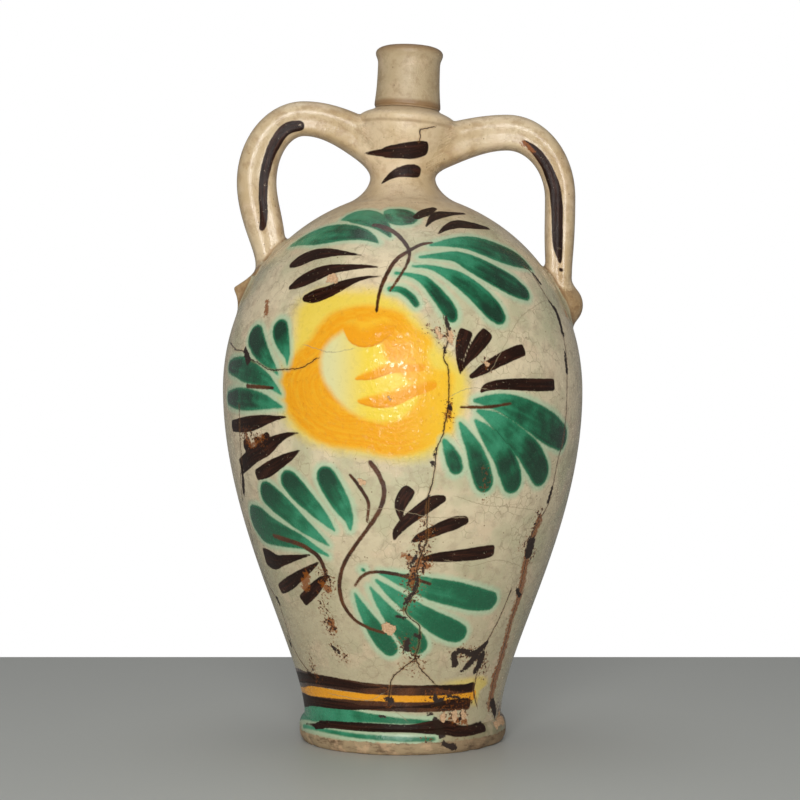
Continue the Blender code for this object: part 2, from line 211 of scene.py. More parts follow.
# For each point and each stretch of a line: where along the stretch the line is nearest, as a
# share of it, and how far away it is there
def awayFrom(points, line):
    step = np.diff(line, axis=0)
    offset = points[:, None] - line[:-1]
    share = np.clip((offset * step).sum(2) / np.maximum((step * step).sum(1), 1e-9), 0, 1)
    return share, np.linalg.norm(offset - share[..., None] * step, axis=2)


def softJoin(first, second, reach):
    overlap = np.maximum(reach - np.abs(first - second), 0)
    return np.minimum(first, second) - overlap * overlap / (4 * reach)


def potField(points):
    upright = unleaned(points)
    around = np.hypot(upright[:, 0], upright[:, 1])
    turn = np.arctan2(upright[:, 0], -upright[:, 1])
    # The thrower's hand: a belly that is a little out of round
    unround = body["wobble"] * (np.sin(2 * turn + 0.6) + 0.6 * np.sin(3 * turn + upright[:, 2] / 40))
    unround = unround * eased(upright[:, 2], 20, 90) * (1 - eased(upright[:, 2], 230, 300))
    radius = np.interp(upright[:, 2], fineHeights, fineRadii) + unround
    slope = np.interp(upright[:, 2], fineHeights, fineSlopes)
    return (around - radius) / np.sqrt(1 + np.minimum(slope * slope, 9))


# The handle's face, flatter than an oval by the first number: a broad crest on its outer third, a
# thumb groove beside it and a thin inner ridge, as (place, spread, height) in half widths
strap = {
    "flatness": 0.30,
    "bumps": ((0.40, 0.42, 0.07), (-0.20, 0.30, -0.11), (-0.76, 0.13, 0.06)),
}


def faceShape(across):
    shape = 1 + strap["flatness"] * across * across
    for centre, spread, height in strap["bumps"]:
        shape = shape + height * np.exp(-(((across - centre) / spread) ** 2))
    return shape


leftHandle = {
    "side": -1, "rootDrop": 20.9, "armSlope": 29, "apex": (57.2, 5.1), "reach": (84.7, -32.0),
    "endDrop": 35.5, "endStand": -3.4, "halfWidths": (13.1, 10.0, 11.5, 8.8),
    "halfDepths": (15.0, 9.5, 9.5, 10.0), "tail": 9, "sectionPoints": 56, "step": 1.2,
}
rightHandle = {
    "side": 1, "rootDrop": 18.8, "armSlope": 16, "apex": (60.5, -3.0), "reach": (91.3, -41.0),
    "endDrop": 41.4, "endStand": 6.3, "halfWidths": (13.4, 10.3, 8.8, 7.6),
    "halfDepths": (15.0, 9.5, 9.5, 10.0), "tail": 10, "sectionPoints": 56, "step": 1.2,
}


def layHandle(handle):
    end = body["shoulderHeight"] - handle["endDrop"]
    shoulder = shoulderOutline()[::-1]
    endRadius = np.interp(end, shoulder[:, 1], shoulder[:, 0]) + handle["endStand"]
    root = np.array([0, collarSeat - handle["rootDrop"]])
    apex = np.array([handle["apex"][0], collarSeat + handle["apex"][1]])
    reach = np.array([handle["reach"][0], collarSeat + handle["reach"][1]])
    end = np.array([endRadius, end])
    slope = math.radians(handle["armSlope"])
    arm = np.linalg.norm(apex - root) / 3
    drop = (reach[1] - end[1]) / 3
    roundness = 0.5523        # pull of a curve that follows a quarter circle
    spans = (
        (root, root + arm * np.array([math.cos(slope), math.sin(slope)]), apex - (arm, 0), apex),
        (apex, apex + (roundness * (reach[0] - apex[0]), 0),
         reach + (0, roundness * (apex[1] - reach[1])), reach),
        (reach, reach - (0, drop), end + (0, drop), end),
    )
    rows = []
    for index, span in enumerate(spans):
        t = np.linspace(0, 1, 41)
        widths, depths = handle["halfWidths"][index:index + 2], handle["halfDepths"][index:index + 2]
        width = widths[0] + (widths[1] - widths[0]) * eased(t * t if index == 2 else t, 0, 1)
        depth = depths[0] + (depths[1] - depths[0]) * eased(t, 0, 1)
        part = np.column_stack([curvePoints(*span, 40), width, depth])
        rows.append(part if index == 0 else part[1:])
    # The end runs on into the clay that covers it
    tail = rows[-1][-1:] - np.array([[0, handle["tail"], 1.0, 1.0]])
    path = np.concatenate(rows + [tail])
    lengths = np.concatenate([[0], np.cumsum(np.linalg.norm(np.diff(path[:, :2], axis=0), axis=1))])
    wanted = np.linspace(0, lengths[-1], int(lengths[-1] / handle["step"]) + 1)
    path = np.stack([np.interp(wanted, lengths, column) for column in path.T], axis=1)
    path[:, 0] *= handle["side"]
    along = np.gradient(path[:, :2], axis=0)
    along /= np.linalg.norm(along, axis=1)[:, None]
    handle["path"] = path
    handle["outward"] = handle["side"] * np.stack([-along[:, 1], along[:, 0]], axis=1)
    handle["knots"] = np.insert(path[::8, :2], 1, 0, axis=1)


def handleField(points, handle):
    path = handle["path"]
    flat = points[:, (0, 2)]
    share, away = awayFrom(flat, path[:, :2])
    nearest = away.argmin(1)
    share = share[np.arange(len(points)), nearest][:, None]
    mixed = path[nearest] * (1 - share) + path[nearest + 1] * share
    outward = handle["outward"][nearest] * (1 - share) + handle["outward"][nearest + 1] * share
    outward /= np.linalg.norm(outward, axis=1)[:, None]
    away = flat - mixed[:, :2]
    side = (away * outward).sum(1)
    past = np.sqrt(np.maximum((away * away).sum(1) - side * side, 0))   # beyond an end of the strap
    width, depth = mixed[:, 2], mixed[:, 3]
    depth = depth * faceShape(np.clip(side / width, -1, 1))
    u, v, w = side / width, points[:, 1] / depth, past / np.minimum(width, depth)
    first = np.sqrt(u * u + v * v + w * w)
    second = np.sqrt((u / width) ** 2 + (v / depth) ** 2 + (w / np.minimum(width, depth)) ** 2)
    return first * (first - 1) / np.maximum(second, 1e-6)


nub = {
    "corners": ((-86.2, 268.0), (-97.8, 260.8), (-93.2, 248.6)), "halfDepth": 9.5,
    "tipOutward": (-0.25, -0.97), "innerX": -80, "faceTurn": 0.28, "softness": 1.6,
    "centre": (-86.0, 0.0, 260.0), "reach": 30,
}
boss = {"centre": (91.5, 0.0, 251.0), "radii": (13.0, 10.8, 13.0), "reach": 30}


def nubField(points):
    top, corner, tip = [np.array(value) for value in nub["corners"]]
    sides = []
    for start, end in ((top, corner), (corner, tip)):
        along = (end - start) / np.linalg.norm(end - start)
        outward = np.array([along[1], -along[0]])
        sides.append((points[:, (0, 2)] - start) @ outward)
    sides.append((points[:, (0, 2)] - tip) @ np.array(nub["tipOutward"]))
    sides.append(points[:, 0] - nub["innerX"])
    turn = nub["faceTurn"]
    for way in (-1, 1):
        face = np.array([-turn, way]) / math.hypot(turn, 1)
        sides.append((points[:, :2] - (nub["centre"][0], way * nub["halfDepth"])) @ face)
    field = sides[0]
    for side in sides[1:]:
        field = -softJoin(-field, -side, nub["softness"])
    return field


def bossField(points):
    away = (points - boss["centre"]) / boss["radii"]
    first = np.linalg.norm(away, axis=1)
    second = np.linalg.norm(away / boss["radii"], axis=1)
    return first * (first - 1) / np.maximum(second, 1e-6)


# Handles, nub and boss are only felt within a box, as its innermost x, lowest and highest z and
# largest y, and a handle only this near its middle line
felt = {"handle": (-30, 240, 385, 30), "lump": (50, 220, 300, 40), "from": 34}


def inBox(points, side, box):
    innermost, lowest, highest, depth = box
    x, y, z = points.T
    return (x * side > innermost) & (z > lowest) & (z < highest) & (np.abs(y) < depth)


def nearHandle(points, handle):
    near = inBox(points, handle["side"], felt["handle"])
    away = np.linalg.norm(points[near][:, None] - handle["knots"], axis=2).min(1)
    near[near] = away < felt["from"]
    return near


def attachedField(points, without=None):
    field = np.full(len(points), 99.0)
    for handle, name in ((leftHandle, "left"), (rightHandle, "right")):
        near = nearHandle(points, handle)
        if name != without and near.any():
            field[near] = np.minimum(field[near], handleField(points[near], handle))
    for shape, name, side in ((nubField, "nub", -1), (bossField, "boss", 1)):
        near = inBox(points, side, felt["lump"])
        if name != without and near.any():
            field[near] = np.minimum(field[near], shape(points[near]))
    return field


# How far the slip in each joint reaches. The shoulder's runs into the neck's between two heights.
luting = {"neck": 7.0, "collar": 1.2, "shoulder": 4.5, "ends": 5.0, "between": (322, 338), "edge": 1.5}


def clayField(points):
    field = potField(points)
    height, edge = points[:, 2], luting["edge"]
    reach = luting["shoulder"] + (luting["neck"] - luting["shoulder"]) * eased(height, *luting["between"])
    reach += (luting["collar"] - luting["neck"]) * eased(height, collarSeat - edge, collarSeat + edge)
    for handle in (leftHandle, rightHandle):
        near = nearHandle(points, handle)
        if near.any():
            field[near] = softJoin(field[near], handleField(points[near], handle), reach[near])
    for shape, side in ((nubField, -1), (bossField, 1)):
        near = inBox(points, side, felt["lump"])
        if near.any():
            field[near] = softJoin(field[near], shape(points[near]), luting["ends"])
    return field


def slopeOf(field, points, step=0.06):
    slope = np.empty_like(points)
    for axis in range(3):
        move = np.zeros(3)
        move[axis] = step
        slope[:, axis] = (field(points + move) - field(points - move)) / (2 * step)
    return slope


# Brings a piece's outside to the shared skin in short steps. Where another piece covers it, it
# stays below.
def settle(points, others, rounds=8, covered=(-3.0, -0.4), close=0.02, longest=1.5):
    settled = points.copy()
    moving = np.arange(len(points))
    for turn in range(rounds):
        value = clayField(settled[moving]) * eased(others(settled[moving]), *covered)
        still = np.abs(value) > close
        moving, value = moving[still], np.clip(value[still], -longest, longest)
        if not len(moving):
            break
        slope = slopeOf(clayField, settled[moving])
        settled[moving] -= (value / np.maximum((slope * slope).sum(1), 0.2))[:, None] * slope
    slope = slopeOf(clayField, settled)
    return settled, slope / np.maximum(np.linalg.norm(slope, axis=1), 1e-6)[:, None]


# Meshes

def makeMesh(name, points, faces, normals, smooth=True):
    mesh = bpy.data.meshes.new(name)
    mesh.from_pydata((np.asarray(points) / 1000).tolist(), [], faces)
    shell = bmesh.new()
    shell.from_mesh(mesh)
    bmesh.ops.recalc_face_normals(shell, faces=shell.faces)
    loose = sum(1 for edge in shell.edges if len(edge.link_faces) != 2)
    shell.to_mesh(mesh)
    shell.free()
    mesh.shade_smooth()
    if smooth:
        # The skin's own normals, but not where the mesh turns away from them in a crease
        own = np.empty(len(points) * 3)
        mesh.vertex_normals.foreach_get("vector", own)
        agree = (own.reshape(-1, 3) * normals).sum(1) > 0.5
        mesh.normals_split_custom_set_from_vertices((normals * agree[:, None]).tolist())
    item = bpy.data.objects.new(name, mesh)
    bpy.context.scene.collection.objects.link(item)
    paintOn(item, np.asarray(points, float), normals)
    print("scene:", name, len(mesh.polygons), "faces,", loose, "open edges")
    return item


def bridge(first, second):
    ahead = np.roll(first, -1), np.roll(second, -1)
    return np.stack([first, ahead[0], ahead[1], second], axis=1).tolist()


# Joins a fine ring to a coarser one that starts at the same place
def bridgeUneven(fine, coarse, fineTurns, coarseTurns):
    faces = []
    there = 0
    count = len(coarse)
    middles = [(turns + np.append(turns[1:], 2 * math.pi)) / 2 for turns in (fineTurns, coarseTurns)]
    for index in range(len(fine)):
        while there < count and middles[0][index] > middles[1][there]:
            faces.append((int(fine[index]), int(coarse[(there + 1) % count]), int(coarse[there % count])))
            there += 1
        faces.append((int(fine[index]), int(fine[(index + 1) % len(fine)]), int(coarse[there % count])))
    for index in range(there, count):
        faces.append((int(fine[0]), int(coarse[(index + 1) % count]), int(coarse[index])))
    return faces


front = math.radians(body["frontAngle"])
fineTurn = body["frontStep"] / body["bellyRadius"]
coarseTurn = body["backStep"] / body["bellyRadius"]
fineCount = int(2 * front / fineTurn)
coarseCount = int((2 * math.pi - 2 * front) / coarseTurn)
# Turns are measured from the front (-Y) towards +X, with the fine columns in front
turns = np.concatenate([
    np.linspace(-front, front, fineCount, endpoint=False),
    np.linspace(front, 2 * math.pi - front, coarseCount, endpoint=False)])
ring = np.stack([np.sin(turns), -np.cos(turns)], axis=1)


def spun(outline):
    rows = outline[:, 0][:, None, None] * ring[None]
    heights = np.repeat(outline[:, 1][:, None], len(turns), axis=1)[..., None]
    return leaned(np.concatenate([rows, heights], axis=2).reshape(-1, 3))


def gridFaces(rows, closed):
    count = len(turns)
    faces = []
    for row in range(rows if closed else rows - 1):
        first = row * count + np.arange(count)
        second = ((row + 1) % rows) * count + np.arange(count)
        faces += bridge(first, second)
    return faces


def inward(outline, distance):
    along = np.gradient(outline, axis=0)
    along /= np.linalg.norm(along, axis=1)[:, None]
    return outline + distance * np.stack([along[:, 1], -along[:, 0]], axis=1)


def pieceFromRing(name, outside, inside, tuck):
    # outside runs down, inside runs up; tuck is how far the first and last rows dive in
    rows = np.concatenate([outside, inside])
    points = spun(rows)
    count = len(turns)
    outer = len(outside) * count
    settled, normals = settle(points[:outer], attachedField)
    for row, depth in ((0, tuck[0]), (len(outside) - 1, tuck[1])):
        part = slice(row * count, (row + 1) * count)
        settled[part] -= depth * normals[part]
    points[:outer] = settled
    normals = np.concatenate([normals, np.zeros((len(points) - outer, 3))])
    faces = gridFaces(len(rows), True)
    return makeMesh(name, points, faces, normals)


def makeBody():
    outside = np.concatenate([neckOutline()[-6:-1], shoulderOutline(), lowerOutline()[1:]])
    outside = evenly(outside, body["frontStep"])
    count = len(turns)
    outer = len(outside) * count
    points = spun(outside)
    points, normals = settle(points, attachedField)
    # The rim runs on under the neck
    below = eased(points[:, 2], body["shoulderHeight"] - 2.2, body["shoulderHeight"] - 0.8)
    points -= 0.6 * below[:, None] * normals
    seat = body["ankleRadius"] - foot["seatDepth"]
    under = spun(np.array([(seat, body["ankleHeight"]), (seat, 0)]))
    faces = gridFaces(len(outside) + 2, False)
    # Inner wall and the floors, coarser because only the mouth looks into them
    coarse = body["innerColumns"]
    coarseTurns = np.linspace(-front, 2 * math.pi - front, coarse, endpoint=False)
    coarseRing = np.stack([np.sin(coarseTurns), -np.cos(coarseTurns)], axis=1)
    wallRun = inward(np.concatenate([shoulderOutline(24), lowerOutline(24)[1:]]), body["wall"])
    wallRun = wallRun[wallRun[:, 1] > body["floor"] + body["wall"]]
    wallRun[0] = (neck["opening"], body["shoulderHeight"])
    inner = np.concatenate([wallRun, [(wallRun[-1, 0] - body["wall"], body["floor"])]])
    innerPoints = [[r * x, r * y, z] for r, z in inner for x, y in coarseRing]
    innerPoints.append([0, 0, body["floor"]])
    base = len(points) + len(under)
    for row in range(len(inner) - 1):
        first = base + row * coarse + np.arange(coarse)
        faces += bridge(first, first + coarse)
    last = base + (len(inner) - 1) * coarse + np.arange(coarse)
    centre = base + len(innerPoints) - 1
    faces += [(int(a), int(b), centre) for a, b in zip(last, np.roll(last, -1))]
    faces += bridgeUneven(
        np.arange(count), base + np.arange(coarse), turns + front, coarseTurns + front)
    bottom = centre + 1
    lowest = (len(outside) + 1) * count + np.arange(count)
    faces += [(int(a), int(b), bottom) for a, b in zip(lowest, np.roll(lowest, -1))]
    everything = np.concatenate([points, under, innerPoints, [[0, 0, 0]]])
    allNormals = np.zeros_like(everything)
    allNormals[:outer] = normals
    return makeMesh("body_clay", everything, faces, allNormals)


def makeNeck():
    overlap = shoulderOutline()[1:4]
    outside = evenly(np.concatenate([collarOutline()[-3:-1], neckOutline(), overlap]), 1.0)
    inner = inward(neckOutline(14), neck["wall"])[::-1]
    inner = inner[inner[:, 1] > outside[-1, 1] + 2]
    inner[-1] = (neck["topRadius"] - neck["wall"], collarSeat)
    inner = np.concatenate([[(neck["opening"], outside[-1, 1])], inner])
    return pieceFromRing("neck_clay", outside, inner, (0.8, 0.1))


def makeCollar():
    outside = evenly(np.concatenate([tubeOutline()[-3:-1], collarOutline(), neckOutline()[1:2]]), 0.9)
    inner = np.array([
        (neck["topRadius"] - neck["wall"], collarSeat + 0.3), (mouthTube["bore"], tubeSeat)])
    return pieceFromRing("collar_clay", outside, inner, (0.7, 0.7))


def makeMouthTube():
    # The lip turns over into the bore, so the skin's field stops below it
    outside = evenly(np.concatenate([tubeOutline(), collarOutline()[1:2]]), 0.8)
    bore, depth = mouthTube["bore"], mouthTube["lipDepth"]
    wall = mouthTube["lipRadius"] - bore
    lip = curvePoints(
        (bore, tubeTop - depth), (bore, tubeTop - depth / 4),
        (bore + wall / 12, tubeTop), (bore + wall / 4, tubeTop), 8)[:-1]
    inside = np.column_stack([np.full(12, bore), np.linspace(tubeSeat + 0.3, tubeTop - depth - 1, 12)])
    return pieceFromRing("mouth_tube_clay", outside, np.concatenate([inside, lip]), (0, 0.7))


# The foot's bites are chips out of its edge: turn from the front in radians, half width, depth
foot = {
    "flare": 3.0, "seatDepth": 4.5, "rounding": 3.0, "bareBelow": 7.4,
    "bites": [
        (0.75, 0.06, 1.4), (1.0, 0.10, 1.1), (0.35, 0.05, 0.9), (-0.5, 0.07, 0.7), (-1.1, 0.05, 0.8),
        (1.9, 0.12, 1.2), (2.7, 0.08, 0.8), (-2.2, 0.10, 1.0), (-2.9, 0.06, 0.7), (0.1, 0.04, 0.6)],
}
footRadius = body["ankleRadius"] + foot["flare"]


def makeFoot():
    top = body["ankleHeight"]
    outer = curvePoints(
        (body["ankleRadius"] - 0.4, top + 0.5), (footRadius - 1, top + 0.2),
        (footRadius, top - foot["rounding"]), (footRadius, top - 2 * foot["rounding"]), 12)
    lower = curvePoints(
        (footRadius, top - 2 * foot["rounding"]), (footRadius, foot["rounding"]),
        (footRadius - 1.6, 0.3), (footRadius - 1.2 * foot["rounding"], 0), 12)
    seat = body["ankleRadius"] - foot["seatDepth"] + 0.3
    outside = evenly(np.concatenate([outer, lower[1:]]), 0.7)
    inside = np.array([(seat, 0), (seat, top - 0.3)])
    points = spun(np.concatenate([outside, inside]))
    # Chipped and crumbled edge: shallow bites out of the lower rim, none reaches past the round
    turn = np.arctan2(points[:, 0], -points[:, 1])
    bite = np.zeros(len(points))
    for place, width, deep in foot["bites"]:
        bite = np.maximum(bite, deep * np.exp(-(((turn - place) / width) ** 2)))
    low = 1 - eased(points[:, 2], 2, 9)
    outer = np.hypot(points[:, 0], points[:, 1]) > seat + 2
    points[:, :2] *= (1 - bite * low * outer / footRadius)[:, None]
    faces = gridFaces(len(outside) + 2, True)
    return makeMesh("foot_ring_clay", points, faces, points * (1, 1, 0), False)


# Kinds of node with their settings, under short names. A Math node goes by its operation.
kinds = {
    "mix": ("ShaderNodeMix", {"data_type": "RGBA"}),
    "fade": ("ShaderNodeMapRange", {"interpolation_type": "SMOOTHSTEP"}),
    "noise": ("ShaderNodeTexNoise", {}),
    "cross": ("ShaderNodeVectorMath", {"operation": "CROSS_PRODUCT"}),
    "scale": ("ShaderNodeVectorMath", {"operation": "SCALE"}),
    "stretch": ("ShaderNodeVectorMath", {"operation": "MULTIPLY"}),
    "shift": ("ShaderNodeVectorMath", {"operation": "ADD"}),
}


# Adds a node to a tree. What fills its inputs is given in their order, or by name in a dictionary.
# A node stands for its first output.
def addNode(tree, kind, *values, **settings):
    plain = (kind, {}) if "Node" in kind else ("ShaderNodeMath", {"operation": kind})
    kind, ready = kinds.get(kind, plain)
    node = tree.nodes.new(kind)
    for name, value in {**ready, **settings}.items():
        setattr(node, name, value)
    free = [socket for socket in node.inputs if socket.enabled]
    if values and isinstance(values[0], dict):
        free = [next(socket for socket in free if socket.name == name) for name in values[0]]
        values = values[0].values()
    for socket, value in zip(free, values):
        if isinstance(value, bpy.types.Node):
            value = next(output for output in value.outputs if output.enabled)
        if isinstance(value, bpy.types.NodeSocket):
            tree.links.new(value, socket)
        else:
            socket.default_value = value
    return node


# Geometry Nodes: one tree lays a strap of clay along a path
def strapTree():
    tree = bpy.data.node_groups.new("clay strap along a path", "GeometryNodeTree")
    add = partial(addNode, tree)
    sockets = {}
    for name, kind in (
            ("Path", "Geometry"), ("Step", "Float"), ("Section Points", "Int"), ("Side", "Float"),
            ("Material", "Material")):
        sockets[name] = tree.interface.new_socket(name, in_out="INPUT", socket_type="NodeSocket" + kind)
    tree.interface.new_socket("Strap", in_out="OUTPUT", socket_type="NodeSocketGeometry")
    given = add("NodeGroupInput").outputs
    line = add("GeometryNodeMeshToCurve", given["Path"])
    line = add("GeometryNodeResampleCurve", {"Curve": line, "Length": given["Step"]}, mode="LENGTH")
    kept = add("GeometryNodeCaptureAttribute", line, domain="POINT")
    kept.capture_items.new("VECTOR", "Centre")
    kept.capture_items.new("VECTOR", "Along")
    tree.links.new(add("GeometryNodeInputPosition").outputs[0], kept.inputs["Centre"])
    tree.links.new(add("GeometryNodeInputTangent").outputs[0], kept.inputs["Along"])
    circle = add(
        "GeometryNodeCurvePrimitiveCircle", {"Resolution": given["Section Points"], "Radius": 1},
        mode="RADIUS")
    section = add("GeometryNodeCaptureAttribute", circle, domain="POINT")
    section.capture_items.new("VECTOR", "Round")
    tree.links.new(add("GeometryNodeInputPosition").outputs[0], section.inputs["Round"])
    tube = add("GeometryNodeCurveToMesh", {
        "Curve": kept.outputs["Geometry"], "Profile Curve": section.outputs["Geometry"],
        "Fill Caps": True})
    halfWidth = add("GeometryNodeInputNamedAttribute", "halfWidth", data_type="FLOAT")
    halfDepth = add("GeometryNodeInputNamedAttribute", "halfDepth", data_type="FLOAT")
    outward = add("scale", add("cross", kept.outputs["Along"], (0, 1, 0)), given["Side"])
    across, through, _ = add("ShaderNodeSeparateXYZ", section.outputs["Round"]).outputs
    # The face's shape: one bump or hollow for each of the strap's bumps
    shape = add("MULTIPLY_ADD", add("MULTIPLY", across, across), strap["flatness"], 1)
    for centre, spread, height in strap["bumps"]:
        away = add("DIVIDE", add("SUBTRACT", across, centre), spread)
        bump = add("EXPONENT", add("MULTIPLY", add("MULTIPLY", away, away), -1))
        shape = add("MULTIPLY_ADD", bump, height, shape)
    wide = add("scale", outward, add("MULTIPLY", across, halfWidth))
    deep = add("MULTIPLY", add("MULTIPLY", through, halfDepth), shape)
    place = add("shift", kept.outputs["Centre"], wide)
    place = add("shift", place, add("ShaderNodeCombineXYZ", 0, deep))
    laid = add("GeometryNodeSetPosition", {"Geometry": tube, "Position": place})
    real = add("GeometryNodeRealizeInstances", laid)
    dressed = add("GeometryNodeSetMaterial", {"Geometry": real, "Material": given["Material"]})
    add("NodeGroupOutput", dressed)
    return tree, sockets


def meshFromNodes(name, start, tree, sockets, values):
    item = bpy.data.objects.new(name, start)
    bpy.context.scene.collection.objects.link(item)
    modifier = item.modifiers.new("nodes", "NODES")
    modifier.node_group = tree
    for socket, value in values.items():
        modifier[sockets[socket].identifier] = value
    item.update_tag()
    graph = bpy.context.evaluated_depsgraph_get()
    mesh = bpy.data.meshes.new_from_object(item.evaluated_get(graph))
    bpy.data.objects.remove(item)
    return mesh


def makeHandle(name, handle, tree, sockets, material):
    path = handle["path"]
    line = bpy.data.meshes.new(name + "_path")
    edges = [(i, i + 1) for i in range(len(path) - 1)]
    line.from_pydata([(x / 1000, 0, z / 1000) for x, z in path[:, :2]], edges, [])
    for column, label in ((2, "halfWidth"), (3, "halfDepth")):
        values = line.attributes.new(label, "FLOAT", "POINT")
        values.data.foreach_set("value", path[:, column] / 1000)
    mesh = meshFromNodes(name, line, tree, sockets, {
        "Step": handle["step"] / 1000, "Section Points": handle["sectionPoints"],
        "Side": float(handle["side"]), "Material": material})
    points = np.empty(len(mesh.vertices) * 3)
    mesh.vertices.foreach_get("co", points)
    points = points.reshape(-1, 3) * 1000
    which = "left" if handle["side"] < 0 else "right"
    settled, normals = settle(points, lambda p: np.minimum(potField(p), attachedField(p, which)))
    faces = [tuple(face.vertices) for face in mesh.polygons]
    return makeMesh(name, settled, faces, normals)


# Small lumps are pressed on: rays from inside the lump find its own outside
def makeLump(name, which, shape, lump, detail=72):
    centre = np.array(lump["centre"])
    polar = np.linspace(0, math.pi, detail // 2 + 1)[1:-1]
    around = np.linspace(0, 2 * math.pi, detail, endpoint=False)
    outer = np.array([-1.0 if centre[0] < 0 else 1.0, 0, 0])
    second, third = np.array([0, 1.0, 0]), np.array([0, 0, 1.0])
    rays = [outer]
    for p in polar:
        rays += [
            math.cos(p) * outer + math.sin(p) * (math.cos(a) * second + math.sin(a) * third)
            for a in around]
    rays = np.array(rays + [-outer])
    low, high = np.zeros(len(rays)), np.full(len(rays), float(lump["reach"]))
    for turn in range(24):
        middle = (low + high) / 2
        inside = shape(centre + middle[:, None] * rays) < 0
        low = np.where(inside, middle, low)
        high = np.where(inside, high, middle)
    points = centre + low[:, None] * rays
    settled, normals = settle(points, lambda p: np.minimum(potField(p), attachedField(p, which)))
    steps = np.arange(detail)
    faces = [(0, 1 + i, 1 + (i + 1) % detail) for i in range(detail)]
    for row in range(len(polar) - 1):
        faces += bridge(1 + row * detail + steps, 1 + (row + 1) * detail + steps)
    base = 1 + (len(polar) - 1) * detail
    faces += [(base + i, len(points) - 1, base + (i + 1) % detail) for i in range(detail)]
    return makeMesh(name, settled, faces, normals)


layHandle(leftHandle)
layHandle(rightHandle)
